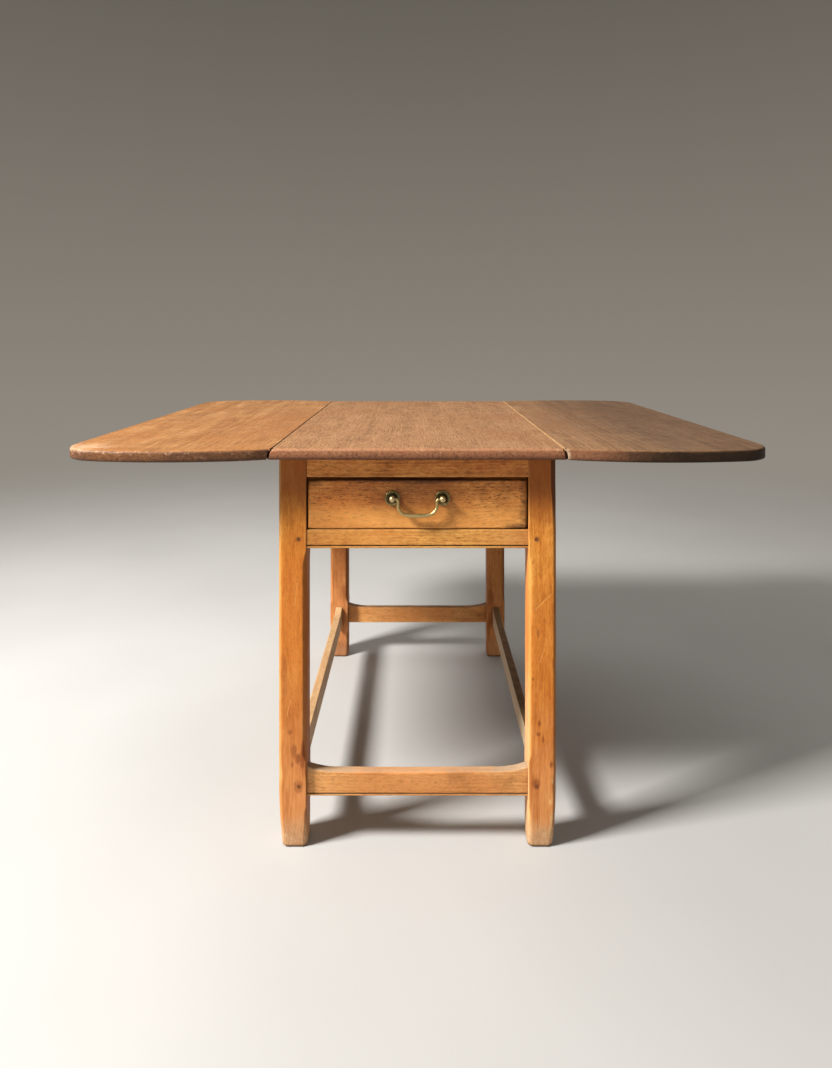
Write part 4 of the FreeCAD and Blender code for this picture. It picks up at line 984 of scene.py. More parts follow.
for i, (nm, along) in enumerate((("stretcher_front", "x"), ("stretcher_rear", "x"),
                                 ("stretcher_left", "y"), ("stretcher_right", "y"))):
    c, h = box_of(nm)
    L = 197.5 if along == "x" else 357.0
    top = swept_top(L)
    if nm == "stretcher_front":
        t0, t1 = -397.0, -379.0
        worn = lambda s: 2.6 + 1.8 * math.exp(-((s + 25.0) / 95.0) ** 2)
        radii = (lambda s: 2.0, worn, lambda s: 2.4, lambda s: 1.2)
        groove = (4.0, 1.7, 1.5)
        z1 = lambda s: top(s) - 0.4 - 0.8 * math.exp(-((s + 25.0) / 110.0) ** 2)
    elif nm == "stretcher_rear":
        t0, t1 = 397.0, 379.0
        radii = (lambda s: 2.0, lambda s: 3.0, lambda s: 2.0, lambda s: 1.4)
        groove = (4.4, 1.0, 1.0)
        z1 = lambda s: top(s) - 0.6
    else:
        t0, t1 = (-231.0, -213.0) if nm.endswith("left") else (231.0, 213.0)
        radii = (lambda s: 1.6, lambda s: 3.0, lambda s: 2.6, lambda s: 1.4)
        groove = None
        z1 = lambda s: top(s) - 0.6
    v, f = bar_shape(L, t0, t1, lambda s: 87.7, z1, radii, along, 300 + 17 * i, groove)

    def str_extra(k, cx, col, rgh, height):
        """Rubbed, paler upper arris."""
        mk = k.map(k.math("MULTIPLY_ADD", cx["patchy"], 0.010, cx["pz"]), 0.1320, 0.1410, 0.0, 1.0)
        col = k.mix(k.math("MULTIPLY", mk, 0.55), col, lin(196, 160, 118))
        rgh = k.math("MULTIPLY_ADD", mk, 0.12, rgh)
        if nm in ("stretcher_rear", "stretcher_right"):
            # painted shade on the upper faces of the rear and right stretchers
            nz = k.split(k.new("ShaderNodeNewGeometry").outputs["Normal"])[2]
            top_face_shade = k.math("MULTIPLY", k.map(nz, 0.45, 0.85, 0.0, 0.72), k.map(cx["patchy"], 0.3, 0.6, 0.75, 1.0))
            col = k.mix(top_face_shade, col, lin(82, 62, 44))
            if nm == "stretcher_right":
                # painted light on the right stretcher's inner face
                nxs = k.split(k.new("ShaderNodeNewGeometry").outputs["Normal"])[0]
                col = k.mix(k.map(nxs, -0.95, -0.70, 0.6, 0.0), col, k.mix(cx["fibre"], lin(196, 172, 140), lin(234, 216, 188)))
        if nm == "stretcher_front":
            nz = k.split(k.new("ShaderNodeNewGeometry").outputs["Normal"])[2]
            ends = k.map(k.math("ABSOLUTE", cx["px"]), 0.06, 0.17, 0.45, 0.88)
            pal = k.math("MULTIPLY", k.math("MULTIPLY", k.map(nz, 0.45, 0.85, 0.0, 1.0), ends), k.map(cx["patchy"], 0.3, 0.6, 0.7, 1.0))
            col = k.mix(pal, col, k.mix(cx["fibre"], lin(136, 116, 96), lin(186, 164, 138)))
        # dark line along the scratched quirk on the outer face
        d = k.math("ABSOLUTE", k.math("SUBTRACT", cx["pz"], 0.0926))
        near = k.map(k.math("ABSOLUTE", cx["py"]), 0.3925, 0.3945, 0.0, 0.85)
        col = k.mix(k.math("MULTIPLY", k.map(d, 0.0006, 0.0014, 1.0, 0.0), near), col, lin(44, 24, 12))
        return col, rgh, height

    mat = wood("wood_" + nm, along, 31 + i, (STR_F, STR_F, TAN, TAN)[i], c, h, ring=0.006,
               pith=(0.02, -0.07), edge_tone=EDGE_HONEY, edge_wear=0.45, fleck=0.2, pore=0.22, extra=str_extra, fig=0.7,
               contrast=0.65, fibres=0.8, dapple=0.5, dash=0.4, mottle=1.1, grime_and_shade=0.5)
    add_piece("visual_" + nm, v, f, mat, "frame", nm)

# rail above the drawer and rail below it
def quirk_line_and_end_shade(z, face, w=0.0011):
    """Dark line along a scratched quirk at height z on the face at y = face, with painted shade and soiling towards the
    rail's right end.
    """
    def extra(k, c, col, rgh, height):
        d = k.math("ABSOLUTE", k.math("SUBTRACT", c["pz"], z))
        near = k.map(k.math("ABSOLUTE", k.math("SUBTRACT", c["py"], face)), 0.003, 0.006, 1.0, 0.0)
        mk = k.math("MULTIPLY", k.map(d, 0.6 * w, 1.5 * w, 1.0, 0.0), near)
        mk = k.math("MULTIPLY", mk, k.map(c["patchy"], 0.3, 0.6, 0.5, 0.95))
        # painted shade with soiling towards the right end
        end = k.map(k.math("MULTIPLY_ADD", k.math("SUBTRACT", c["fibre"], 0.5), 0.08, c["px"]), 0.09, 0.215, 0.0, 0.55)
        col = k.mix(end, col, k.mix(c["fibre"], lin(150, 80, 40), lin(192, 114, 60)))
        return k.mix(mk, col, lin(44, 24, 12)), rgh, height
    return extra


c, h = box_of("front_top_rail")
mat = wood("wood_front_top_rail", "x", 41, DRAWER_T, c, h, ring=0.005, pith=(0.02, -0.05), fleck=0.2, pore=0.22,
           edge_tone=EDGE_HONEY, edge_wear=0.2, fig=0.7, contrast=0.75, fibres=0.7, dapple=0.8, dash=0.55, mottle=1.2, grime_and_shade=0.45)
v, f = bar_shape(197.5, -403.3, -359.7, lambda s: 657.2, lambda s: 694.9,
                 (lambda s: 1.6, lambda s: 0.6, lambda s: 0.6, lambda s: 0.8), "x", 410, None, lower_wave=0.9)
add_piece("visual_front_top_rail", v, f, mat, "frame", "front_top_rail")
c, h = box_of("front_drawer_rail")
mat = wood("wood_front_drawer_rail", "x", 43, STR_T, c, h, ring=0.005, pith=(0.01, -0.05), fleck=0.15, pore=0.2,
           edge_tone=EDGE_HONEY, edge_wear=0.35, fig=0.7, contrast=0.75, fibres=0.7, dapple=0.8, dash=0.42, mottle=1.2, grime_and_shade=0.35, extra=quirk_line_and_end_shade(0.5364, -0.4035))
v, f = bar_shape(197.5, -403.3, -356.2, lambda s: 531.2, lambda s: 564.8,
                 (lambda s: 2.0, lambda s: 1.5, lambda s: 0.8, lambda s: 0.8), "x", 430, (4.2, 2.0, 2.0), wave=0.18)
add_piece("visual_front_drawer_rail", v, f, mat, "frame", "front_drawer_rail")


# ---- top boards
def edge_band(tone, pale_amt, near=None, side=0):
    """Darker, handled band round the rim of a board, with rubbed pale scuffs, and painted light and shade: painted
    shade with dirt in the left joint line, painted highlights at the right joint, on the right leaf's inner front
    corner and along the centre board's upper edge, painted shade low on the rim, and a painted shadow across the right
    leaf, whose rim tone is also painted shade.
    near = (tone, x) gives the rim another tone close to the joint;
    side = -1 or 1 for a leaf, 0 for the centre board."""
    def extra(k, c, col, rgh, height):
        ax = k.math("ABSOLUTE", c["px"])
        # painted shade with dirt in the line of the left joint; the arris at the right joint gets a painted highlight
        high = k.map(c["pz"], 0.7085, 0.7120, 0.0, 1.0)
        j = k.math("ABSOLUTE", k.math("SUBTRACT", ax, 0.2512))
        left = k.map(c["px"], -0.01, 0.01, 1.0, 0.0)
        worn = k.map(c["patchy"], 0.35, 0.6, 0.55, 1.0)
        if side <= 0:
            ln = k.math("MULTIPLY", k.map(j, 0.0009, 0.0023, 1.0, 0.0), high)
            col = k.mix(k.math("MULTIPLY", k.math("MULTIPLY", ln, left), 0.85), col, lin(50, 27, 13))
        if side > 0:
            # painted shadow across the right leaf, darker towards its outer side
            right_leaf_shade = k.math("MULTIPLY_ADD", k.math("SUBTRACT", c["mot"], 0.5), 0.30, ax)
            right_leaf_shade = k.math("MULTIPLY_ADD", k.math("SUBTRACT", c["fibre"], 0.5), 0.12, right_leaf_shade)
            col = k.mix(k.map(right_leaf_shade, 0.26, 0.52, 0.0, 0.62), col, lin(84, 63, 48))
        # painted highlight on the arris at the right joint
        if side >= 0:
            amt = 0.6 if side else 0.3
            ln = k.math("MULTIPLY", k.map(j, 0.0016, 0.0034, 1.0, 0.0), high)
            ln = k.math("MULTIPLY", k.math("MULTIPLY", ln, worn), k.math("SUBTRACT", 1.0, left))
            col = k.mix(k.math("MULTIPLY", ln, amt), col, lin(232, 184, 126))
        off_joint = k.map(k.math("SUBTRACT", k.math("ABSOLUTE", c["py"]), 0.4365), -0.004, 0.004, 0.0, 1.0) if side == 0 \
            else k.map(k.math("SUBTRACT", ax, 0.2535), 0.0, 0.004, 0.0, 1.0)
        rim = k.map(k.math("MULTIPLY_ADD", c["patchy"], 0.0024, c["pz"]), 0.7132, 0.7166, 1.0, 0.0)
        rim = k.math("MULTIPLY", rim, off_joint)
        dk = k.map(c["mot"], 0.30, 0.70, 0.60 if side <= 0 else 0.86, 0.96)
        tn = tone
        if near:
            xx = k.math("MULTIPLY_ADD", k.math("SUBTRACT", c["patchy"], 0.5), 0.10, ax)
            tn = k.mix(k.map(xx, near[1] - 0.05, near[1] + 0.08, 0.0, 1.0), near[0], tone)
        col = k.mix(k.math("MULTIPLY", rim, dk), col, tn)
        pit = k.noise(k.vec("ADD", k.vec("MULTIPLY", c["P"], (250.0, 250.0, 300.0)), tuple(c["off"])), 1.0, 3.0, 0.65)
        deep = k.math("MULTIPLY", k.map(c["pz"], 0.700, 0.713, 1.0, 0.45), rim)
        col = k.mix(k.math("MULTIPLY", k.math("MULTIPLY", k.map(pit, 0.49, 0.63), deep), 0.62 if side == 0 else 0.6), col,
                    lin(44, 24, 14))
        # small dark pits just inside the front arris
        arris = k.math("MULTIPLY", k.map(k.math("ABSOLUTE", k.math("ADD", c["py"], 0.4385)), 0.003, 0.009, 1.0, 0.0), high)
        dots = k.noise(k.vec("ADD", k.vec("MULTIPLY", c["P"], (150.0, 90.0, 150.0)), tuple(o + 2.2 for o in c["off"])), 1.0, 3.0, 0.7)
        col = k.mix(k.math("MULTIPLY", k.math("MULTIPLY", k.map(dots, 0.57, 0.66), arris), 0.55), col, lin(58, 30, 18))
        # painted shade low on the rim
        under = k.math("MULTIPLY", k.map(c["pz"], 0.6955, 0.7045, 0.55, 0.0), rim)
        col = k.mix(under, col, lin(40, 24, 15))
        # centre board: painted shade on the lower rim, painted highlight along its upper edge
        if side == 0:
            grad = k.map(k.math("MULTIPLY_ADD", k.math("SUBTRACT", c["patchy"], 0.5), 0.010, c["pz"]), 0.699, 0.709, 0.42, 0.0)
            col = k.mix(k.math("MULTIPLY", grad, rim), col, lin(92, 54, 38))
            col = k.mix(k.math("MULTIPLY", k.map(c["pz"], 0.7085, 0.7125, 0.0, 0.30), rim), col, lin(196, 146, 112))
        # painted highlight at the right leaf's inner front corner
        if side > 0:
            col = k.mix(k.math("MULTIPLY", spot(k, c, (0.2580, -0.4450, 0.7060), (0.0070, 0.012, 0.012), 0.3, 1.2), 0.62), col,
                        lin(196, 172, 142))
        sc = k.noise(k.vec("ADD", k.vec("MULTIPLY", c["P"], (120.0, 120.0, 230.0)), tuple(c["off"])), 1.0, 4.0, 0.7)
        up = k.map(c["pz"], 0.701, 0.7135, 0.15, 1.0)
        pale = k.math("MULTIPLY", k.math("MULTIPLY", k.map(sc, 0.54, 0.70), up), rim)
        if side < 0:
            tip = spot(k, c, (-0.592, -0.425, 0.7140), (0.060, 0.050, 0.0055), 0.2, 1.2)
            soil = k.math("MULTIPLY", k.map(c["px"], -0.600, -0.520, 0.46, 0.0), k.map(c["pz"], 0.706, 0.711, 1.0, 0.0))
            col = k.mix(k.math("MULTIPLY", soil, rim), col, lin(88, 56, 38))
            pale = k.math("MAXIMUM", pale, k.math("MULTIPLY", tip, k.map(sc, 0.36, 0.58, 0.2, 1.0)))
        col = k.mix(k.math("MULTIPLY", pale, pale_amt), col, lin(200, 164, 134))
        return col, rgh, height
    return extra


for side, nm in ((-1, "leaf_left"), (1, "leaf_right")):
    c, h = box_of(nm)
    mat = wood("wood_" + nm, "y", 51 + side, LEAF_L if side < 0 else LEAF_R, c, h, ring=0.0085, pith=(0.06 * side, -0.16),
               fig=0.8, pore=0.45, fleck=0.15, edge_wear=0.0, scuff=0.3, rough=0.48, coat=0.0, spec=0.2, speck=0.22,
               mottle=0.8, stain=0.10, contrast=0.9, fibres=0.8, band=0.5, wipe=0.35,
               extra=edge_band(lin(92, 60, 42), 0.7, side=-1) if side < 0 else
               # the right leaf's very dark rim tone is painted shade, lighter near the joint
               edge_band(lin(34, 21, 11), 0.08, (lin(124, 82, 58), 0.33), side=1), bump=0.28)
    cols = leaf_cols(side, (2.0, 22.0) if side < 0 else (1.8, 18.0))
    v, f = board(cols, LEVELS, hollow, 500 + side, 5.4 if side < 0 else 4.4, 4.4 if side < 0 else 3.2)
    ob = add_piece("visual_" + nm, v, f, mat, nm, nm)
    boxes = []
    for y in (-330.0, 0.0, 330.0):
        a, b = 240.0, 305.6
        boxes.append((min(side * a, side * b), max(side * a, side * b), y - 19.2, y + 19.2, 690.0, 697.1))
    cut_boxes(ob, boxes)

c, h = box_of("centre_top")
mat = wood("wood_centre_top", "y", 61, TOP_T, c, h, ring=0.007, pith=(0.02, -0.25), fig=0.3, pore=0.35, fleck=0.06,
           edge_wear=0.0, scuff=0.2, rough=0.50, coat=0.0, spec=0.2, speck=0.55, mottle=0.5, stain=0.06, contrast=0.9,
           fibres=0.62, band=0.26, wipe=0.22, extra=edge_band(lin(150, 97, 67), 0.6), bump=0.32)
v, f = board(top_cols(), LEVELS, ovolo, 600, 5.2, 4.4)
ob = add_piece("visual_centre_top", v, f, mat, "frame", "centre_top")
for a, b, z1 in ((216.8, 272.0, 697.1), (246.7, 255.3, 702.5)):
    cut_boxes(ob, [(min(q * a, q * b), max(q * a, q * b), y - 19.2, y + 19.2, 690.0, z1)
                   for q in (-1, 1) for y in (-330.0, 0.0, 330.0)])


# ---- drawer front
def drawer_front_shape():
    X, Z0, Z1 = 195.3, 566.0, 655.5
    ylev = [-403.5, -403.42, -403.15, -402.7, -402.0, -401.0, -399.6, -397.5, -394.0, -388.0, -382.5, -381.5]
    cols = []                       # (x, z, nx, nz, sx, sz); sx, sz set at the corners

    def arc(sx, sz, a0):
        for i in range(6):
            a = a0 + 0.5 * math.pi * i / 5
            cols.append((0.0, 0.0, math.cos(a), math.sin(a), sx, sz))

    def run(p, q, n, nx, nz):
        for i in range(n + 1):
            cols.append((p[0] + (q[0] - p[0]) * i / n, p[1] + (q[1] - p[1]) * i / n, nx, nz, 0, 0))

    arc(1, -1, -0.5 * math.pi)
    run((X, Z0 + 16), (X, Z1 - 16), 12, 1, 0)
    arc(1, 1, 0.0)
    run((X - 16, Z1), (-X + 16, Z1), 58, 0, 1)
    arc(-1, 1, 0.5 * math.pi)
    run((-X, Z1 - 16), (-X, Z0 + 16), 12, -1, 0)
    arc(-1, -1, math.pi)
    run((-X + 16, Z0), (X - 16, Z0), 58, 0, -1)
    n = len(cols)
    ss = np.arange(n) * 6.6
    rr = np.clip(3.0 + 1.0 * line_noise(ss / 40.0, 71, 3), 2.0, 4.6)
    rr += np.array([1.6 if abs(c[2]) > 0.9 and not c[4] else 0.0 for c in cols])
    at = np.array([(c[4] * X, Z1 if c[5] > 0 else Z0) if c[4] else (c[0], c[1]) for c in cols])
    upper = np.where(at[:, 1] > Z1 - 0.1, 1.0, np.exp(-((Z1 - at[:, 1]) / 11.0) ** 2))
    gap = (0.08 + 0.9 * upper) * (line_noise(ss / 55.0, 72, 3) + 1.0) + 1.0 * upper
    for cx, cz, amp, ln in ((X, Z1, 1.5, 26.0), (X, Z0, 1.7, 30.0), (-X, Z1, 0.5, 18.0), (-X, Z0, 0.4, 18.0)):
        gap += amp * np.exp(-((at[:, 0] - cx) ** 2 + (at[:, 1] - cz) ** 2) / ln ** 2)
    # keep the easing even round each corner
    for i in range(n):
        if cols[i][4] and not cols[i - 1][4]:
            rr[i:i + 6] = rr[i]
            gap[i:i + 6] = gap[i]
    verts, faces = [], []
    for y in ylev:
        d = y + 403.5
        back = float(smooth((y + 401.0) / 4.0))
        for i, (x, z, nx, nz, sx, sz) in enumerate(cols):
            q = rr[i] - math.sqrt(max(0.0, rr[i] ** 2 - (rr[i] - d) ** 2)) if d < rr[i] else 0.0
            q += gap[i] * (1 - back) + 0.02
            if sx:
                r = min(q + (4.6 if sx > 0 else 2.4), 15.0)
                verts.append((sx * (X - r) + (r - q) * nx, y, (Z1 - r if sz > 0 else Z0 + r) + (r - q) * nz))
            else:
                verts.append((x - nx * q, y, z - nz * q))
    m = len(ylev)
    for kk in range(m - 1):
        for i in range(n):
            a, b = kk * n + i, kk * n + (i + 1) % n
            faces.append((a, b, b + n, a + n))
    front = np.array(verts[:n])
    zc, hz = 0.5 * (Z0 + Z1), 0.5 * (Z1 - Z0)
    prev = 0
    for q in (0.0, 0.08, 0.2, 0.36, 0.54, 0.72, 0.88):
        fx, fz = (1 - 6.0 / X) * (1 - q * 0.4), (1 - 6.0 / hz) * (1 - q)
        ring = np.stack([front[:, 0] * fx, front[:, 1], zc + (front[:, 2] - zc) * fz], 1)
        dip = 0.35 * (fbm(ring / np.array([70.0, 60.0, 26.0]), 77, 3) + 0.8)
        ring[:, 1] += np.clip(dip, 0.0, 0.8) * min(1.0, 0.1 + q * 5.0)
        base = len(verts)
        verts += [tuple(p) for p in ring]
        for i in range(n):
            j = (i + 1) % n
            faces.append((prev + i, prev + j, base + j, base + i))
        prev = base
    faces.append(tuple(prev + i for i in range(n)))
    faces.append(tuple((m - 1) * n + i for i in range(n)))
    return verts, faces


def drawer_extra(k, c, col, rgh, height):
    """Handled, darker wood round the pull; painted shade with soiling at the ends and along the top edge; painted light
    on the lower part.
    """
    dx = k.math("MULTIPLY", c["px"], 10.5)
    dz = k.math("MULTIPLY", k.math("SUBTRACT", c["pz"], 0.622), 26.0)
    rr = k.math("SQRT", k.math("ADD", k.math("MULTIPLY", dx, dx), k.math("MULTIPLY", dz, dz)))
    mk = k.map(k.math("MULTIPLY_ADD", c["patchy"], 1.2, rr), 0.6, 2.2, 1.0, 0.0)
    col = k.mix(k.math("MULTIPLY", mk, 0.5), col, lin(112, 60, 28))
    # painted light on the lower part of the front
    lower_painted_light = k.map(k.math("MULTIPLY_ADD", k.math("SUBTRACT", c["patchy"], 0.5), 0.020, c["pz"]), 0.592, 0.618, 0.42, 0.0)
    col = k.mix(lower_painted_light, col, k.mix(c["mot"], lin(216, 140, 64), lin(246, 188, 104)))
    # painted shade in the gap along the top edge
    up = k.map(k.math("MULTIPLY_ADD", c["patchy"], 0.006, c["pz"]), 0.6515, 0.6555, 0.0, 0.85)
    up = k.math("MULTIPLY", up, k.map(c["py"], -0.4005, -0.3965, 1.0, 0.12))
    col = k.mix(up, col, lin(40, 20, 10))
    # painted shade with soiling at the ends and along the top
    for cen, rad, amt in (((0.191, -0.403, 0.590), (0.013, 0.02, 0.028), 0.6), ((0.184, -0.403, 0.571), (0.040, 0.02, 0.009), 0.6),
                          ((0.191, -0.403, 0.636), (0.011, 0.02, 0.030), 0.5), ((-0.190, -0.403, 0.648), (0.026, 0.02, 0.008), 0.5),
                          ((0.0, -0.403, 0.652), (0.130, 0.02, 0.007), 0.55)):
        sk = k.math("MULTIPLY", spot(k, c, cen, rad), k.map(c["fibre"], 0.38, 0.62, 0.5, 1.15))
        col = k.mix(k.math("MULTIPLY", sk, amt), col, lin(58, 30, 16))
    return col, rgh, height


c, h = box_of("drawer_front")
mat = wood("wood_drawer_front", "x", 71, DRAWER_T, c, h, ring=0.0062, pith=(0.03, -0.06), fig=0.7, pore=0.2,
           fleck=0.22, edge_wear=0.0, edge_dark=0.10, grime_and_shade=0.12, extra=drawer_extra, rough=0.42, coat=0.02, contrast=0.7, fibres=0.8, dapple=0.8, dash=0.95, mottle=1.1)
v, f = drawer_front_shape()
ob = add_piece("visual_drawer_front", v, f, mat, "drawer", "drawer_front")
for nm in ("drawer_side_left", "drawer_side_right", "drawer_bottom"):
    cut_with(ob, welded_copy(nm))

# ---- pieces whose worked shape is already right: ease the edges, give them their wood
plain = {
    "rear_apron": ("x", BACK, 81), "side_rail_left": ("y", FLYW, 82), "side_rail_right": ("y", FLYW, 83),
    "drawer_side_left": ("y", PALE, 84), "drawer_side_right": ("y", PALE, 85), "drawer_back": ("x", PALE, 86),
    "drawer_bottom": ("x", PALE, 87), "drawer_runner_left": ("y", FLYW, 88), "drawer_runner_right": ("y", FLYW, 89),
    "drawer_guide_left": ("y", PALE, 90), "drawer_guide_right": ("y", PALE, 91), "kicker_left": ("y", FLYW, 92),
    "kicker_right": ("y", FLYW, 93), "drawer_stops": ("x", PALE, 94),
}
for a in ("left", "right"):
    for i, b in enumerate(("front", "centre", "rear")):
        plain["fly_block_%s_%s" % (a, b)] = ("y", FLYW, 95 + i + (0 if a == "left" else 10))
    for i, b in enumerate(("front", "rear")):
        plain["fly_bracket_%s_%s" % (a, b)] = ("y", FLYW, 120 + i + (0 if a == "left" else 10))


def ease(ob, width):
    w = ob.modifiers.new("weld", "WELD")
    w.merge_threshold = 2e-6
    b = ob.modifiers.new("ease", "BEVEL")
    b.width = width
    b.segments = 2
    b.limit_method = "ANGLE"
    b.angle_limit = math.radians(40)
    b.use_clamp_overlap = True
    b.harden_normals = False
    n = ob.modifiers.new("wn", "WEIGHTED_NORMAL")
    n.keep_sharp = False


for nm, (grain, tones, seed) in plain.items():
    c, h = box_of(nm)
    mat = wood("wood_" + nm, grain, seed, tones, c, h, ring=0.006, pith=(0.03, -0.08), edge_tone=tones[2],
               edge_wear=0.3, rough=0.55, coat=0.0, fleck=0.16, pore=0.24, contrast=0.66, fibres=0.7, fig=0.8,
               dapple=0.35, dash=0.3, stain=0.25)
    ob = nodes[nm]
    ob.data.materials.clear()
    ob.data.materials.append(mat)
    ease(ob, 0.0009)


def peg_wood():
    m, k, bsdf = new_material("wood_pegs")
    P = k.new("ShaderNodeTexCoord").outputs["Object"]
    n1 = k.noise(P, 700.0, 3.0, 0.6)
    n2 = k.noise(P, 90.0, 2.0, 0.5)
    col = k.ramp(n1, [(0.3, lin(92, 52, 30)), (0.55, lin(134, 82, 46)), (0.8, lin(162, 106, 62))])
    col = k.mix(k.map(n2, 0.4, 0.7, 0.0, 0.4), col, lin(104, 62, 34))
    k.put(bsdf.inputs["Base Color"], col)
    k.put(bsdf.inputs["Roughness"], k.math("MULTIPLY_ADD", n1, 0.25, 0.45))
    k.put(bsdf.inputs["Normal"], k.bump(n1, 0.4, 0.0006))
    bsdf.inputs["Specular IOR Level"].default_value = 0.15
    return m


nodes["joint_pegs"].data.materials.clear()
nodes["joint_pegs"].data.materials.append(peg_wood())

# =====================================================================
# Metal pieces
# =====================================================================
M_BRASS = brass("brass_aged", lin(150, 130, 84), lin(196, 174, 120), lin(228, 208, 158), 0.6, 0.32)
M_ROSE = brass("brass_dark", lin(116, 104, 70), lin(156, 142, 98), lin(198, 182, 134), 0.8, 0.36, (0.0445, 0.621, 0.0088))
M_BALL = brass("brass_rubbed", lin(170, 150, 106), lin(208, 188, 142), lin(232, 216, 174), 0.35, 0.36)
M_IRON = iron("iron_dark", lin(74, 70, 66), 0.8)
M_STEEL = iron("steel_dull", lin(120, 114, 106), 0.5)
for nm, s in node_slot.items():
    if s in ("brass", "iron", "steel"):
        nodes[nm].data.materials.clear()
        nodes[nm].data.materials.append({"brass": M_BRASS, "iron": M_IRON, "steel": M_STEEL}[s])


def lathe(profile, cx, cz, seg=64):
    """Turned solid about an axis along Y from (radius, y) points, millimetres."""
    verts, faces = [], []
    for r, y in profile:
        for j in range(seg):
            a = 2 * math.pi * j / seg
            verts.append((cx + r * math.cos(a), y, cz + r * math.sin(a)))
    for i in range(len(profile) - 1):
        for j in range(seg):
            a, b = i * seg + j, i * seg + (j + 1) % seg
            faces.append((a, b, b + seg, a + seg))
    faces.append(tuple(range(seg))[::-1])
    faces.append(tuple((len(profile) - 1) * seg + j for j in range(seg)))
    return verts, faces


def spline(pts, n):
    """Catmull-Rom through points."""
    pts = [np.array(p, float) for p in pts]
    pts = [2 * pts[0] - pts[1]] + pts + [2 * pts[-1] - pts[-2]]
    out = []
    for i in range(1, len(pts) - 2):
        p0, p1, p2, p3 = pts[i - 1], pts[i], pts[i + 1], pts[i + 2]
        for j in range(n):
            t = j / n
            out.append(0.5 * (2 * p1 + (p2 - p0) * t + (2 * p0 - 5 * p1 + 4 * p2 - p3) * t * t
                              + (3 * p1 - 3 * p2 + p3 - p0) * t ** 3))
    out.append(pts[-2])
    return out


YB = -403.5
for side, nm in ((-1, "left"), (1, "right")):
    prof = [(3.1, YB - 0.05), (13.3, YB - 0.05)]
    prof += [tuple(p) for p in spline([(13.5, YB - 0.5), (13.45, YB - 1.5), (13.0, YB - 2.5), (12.0, YB - 3.2),
                                       (10.9, YB - 2.8), (10.25, YB - 1.7), (9.2, YB - 1.15), (8.0, YB - 1.2),
                                       (7.3, YB - 2.0), (6.3, YB - 2.9), (5.2, YB - 3.15), (3.9, YB - 3.2)], 4)]
    prof += [(3.1, YB - 3.2)]
    v, f = lathe(prof, side * 44.5, 621.0, 72)
    ob = add_piece("visual_rosette_" + nm, v, f, M_ROSE, "drawer", "rosette_" + nm, wn=False, sharp=60)
    prof = [(2.0, -376.6), (2.9, -377.2), (3.0, -380.0), (3.0, YB - 3.3)]
    prof += [tuple(p) for p in spline([(4.5, YB - 3.4), (4.6, YB - 4.0), (4.1, YB - 4.7), (3.4, YB - 5.4), (3.25, YB - 6.0)], 4)]
    cy, R = -414.5, 5.6
    a0 = math.asin(3.25 / R)
    for i in range(25):
        a = a0 + (math.pi - 0.06 - a0) * i / 24
        prof.append((R * math.sin(a), cy + R * math.cos(a)))
    v, f = lathe(prof, side * 44.5, 621.0, 56)
    add_piece("visual_post_" + nm, v, f, M_BALL, "drawer", "post_" + nm, wn=False, sharp=60)


def bail_shape():
    """Drop handle: thinner round ends at the posts, swan-neck uprights, swelled bar."""
    half = [(40.6, 621.0), (38.6, 621.0), (36.3, 620.4), (34.7, 618.6), (34.1, 615.6), (34.2, 610.0), (34.0, 605.0),
            (33.0, 603.2), (30.4, 599.2), (26.6, 595.8), (21.5, 593.6), (15.5, 592.5), (8.0, 592.1), (0.0, 592.0)]
    path = half + [(-x, z) for x, z in half[-2::-1]]
    pts = [np.array((x, -414.5, z)) for x, z in path]
    cur = spline(pts, 5)
    L = [0.0]
    for a, b in zip(cur, cur[1:]):
        L.append(L[-1] + float(np.linalg.norm(b - a)))
    tot = L[-1]
    seg = 20
    sec = []
    for i, p in enumerate(cur):
        t = cur[min(i + 1, len(cur) - 1)] - cur[max(i - 1, 0)]
        t /= np.linalg.norm(t)
        n1 = np.array((0.0, 1.0, 0.0))
        n2 = np.cross(t, n1)
        n2 /= np.linalg.norm(n2)
        u = min(L[i], tot - L[i])
        mid = math.exp(-((L[i] - tot / 2) / 19.0) ** 2)
        r = 2.15 + 0.75 * float(smooth(u / 12.0)) + 1.0 * mid + 0.06 * math.sin(L[i] * 1.7)
        ring = []
        for j in range(seg):
            a = 2 * math.pi * j / seg
            ring.append(tuple(p + n1 * (r * math.cos(a)) + n2 * (r * math.sin(a))))
        sec.append(ring)
    return loft(sec)


v, f = bail_shape()
add_piece("visual_drawer_bail", v, f, M_BRASS, "bail", "drawer_bail", wn=False, sharp=60)

# =====================================================================
# Stage: plain pale floor, soft light, camera at the photo's angle
# =====================================================================
sc = bpy.context.scene
sc.view_settings.view_transform = "Standard"
fm = bpy.data.meshes.new("floor")
R = 9.0
fm.from_pydata([(-R, -R, 0), (R, -R, 0), (R, R, 0), (-R, R, 0)], [], [(0, 1, 2, 3)])
floor = bpy.data.objects.new("floor", fm)
sc.collection.objects.link(floor)
m, k, bsdf = new_material("floor_pale")
P = k.new("ShaderNodeTexCoord").outputs["Object"]
n1 = k.noise(P, 1.6, 2.0, 0.5)
k.put(bsdf.inputs["Base Color"], k.ramp(n1, [(0.3, lin(178, 178, 177)), (0.7, lin(185, 185, 184))]))
bsdf.inputs["Roughness"].default_value = 0.7
bsdf.inputs["Specular IOR Level"].default_value = 0.2
# the floor melts into the backdrop away from the object
tr = k.new("ShaderNodeBsdfTransparent")
mx = k.new("ShaderNodeMixShader")
fx, fy, fz = k.split(P)
rad = k.math("SQRT", k.math("ADD", k.math("MULTIPLY", fx, fx), k.math("MULTIPLY", fy, fy)))
k.put(mx.inputs[0], k.map(rad, 0.7, 5.0, 0.0, 1.0))
m.node_tree.links.new(bsdf.outputs[0], mx.inputs[1])
m.node_tree.links.new(tr.outputs[0], mx.inputs[2])
out = [n for n in m.node_tree.nodes if n.type == "OUTPUT_MATERIAL"][0]
m.node_tree.links.new(mx.outputs[0], out.inputs[0])
fm.materials.append(m)

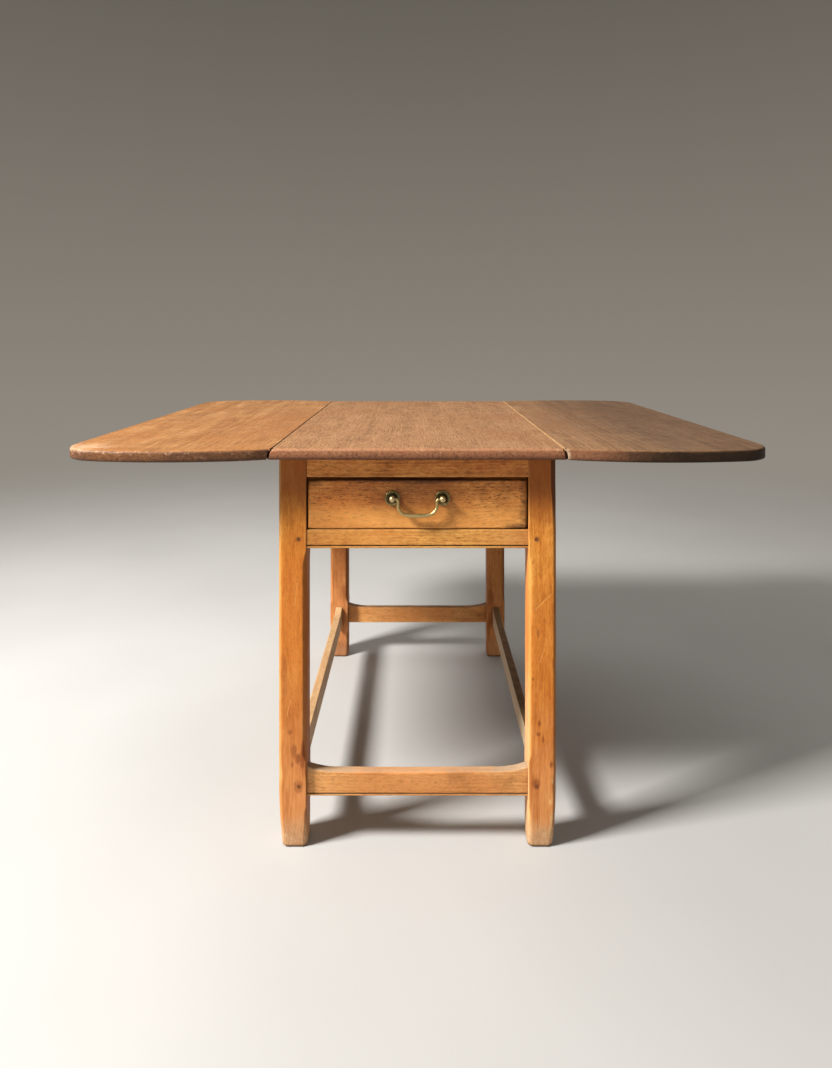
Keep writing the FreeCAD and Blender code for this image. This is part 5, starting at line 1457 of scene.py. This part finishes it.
world = bpy.data.worlds.new("studio")
sc.world = world
world.use_nodes = True
wt = world.node_tree
wt.nodes.clear()
wk = Nodes(wt)
wo = wk.new("ShaderNodeOutputWorld")
bg = wk.new("ShaderNodeBackground")
d = wk.new("ShaderNodeTexCoord").outputs["Generated"]
dx_, dy_, dz_ = wk.split(d)
wk.put(bg.inputs["Color"], wk.ramp(wk.math("MULTIPLY_ADD", dz_, 0.5, 0.5),
       [(0.30, lin(178, 171, 160)), (0.50, lin(150, 143, 133)), (0.72, lin(112, 106, 97)), (1.0, lin(200, 195, 186))]))
wk.put(bg.inputs["Strength"], wk.map(dy_, -0.6, 0.35, 0.42, 0.8))
wt.links.new(bg.outputs[0], wo.inputs[0])


def area(name, loc, aim, size, power, colour):
    ld = bpy.data.lights.new(name, "AREA")
    ld.shape = "SQUARE"
    ld.size = size
    ld.energy = power
    ld.color = colour
    ob = bpy.data.objects.new(name, ld)
    sc.collection.objects.link(ob)
    ob.location = loc
    ob.rotation_euler = (Vector(aim) - Vector(loc)).to_track_quat("-Z", "Y").to_euler()
    return ob


area("key", (-2.65, -1.40, 2.85), (0.0, -0.2, 0.5), 0.75, 335.0, (1.0, 0.965, 0.92))
area("fill", (3.0, -2.2, 1.6), (0.0, 0.0, 0.4), 2.6, 14.0, (1.0, 0.96, 0.91))
area("front", (0.5, -4.0, 0.9), (0.0, 0.0, 0.4), 2.4, 15.0, (1.0, 0.94, 0.86))
area("over", (0.3, 1.6, 3.0), (0.0, 0.0, 0.6), 2.4, 20.0, (1.0, 0.99, 0.97))

cam_d = bpy.data.cameras.new("camera")
cam = bpy.data.objects.new("camera", cam_d)
sc.collection.objects.link(cam)
sc.camera = cam
cam.location = (0.0, -1.681, 0.910)
cam.rotation_euler = (math.radians(90.0), 0.0, 0.0)
cam_d.sensor_width = 36.0
cam_d.sensor_fit = "AUTO"
cam_d.lens = 720.0 / 1068.0 * 36.0
cam_d.shift_y = -(534.0 - 335.0) / 1068.0
cam_d.shift_x = -(417.5 - 416.0) / 1068.0
cam_d.clip_end = 60.0
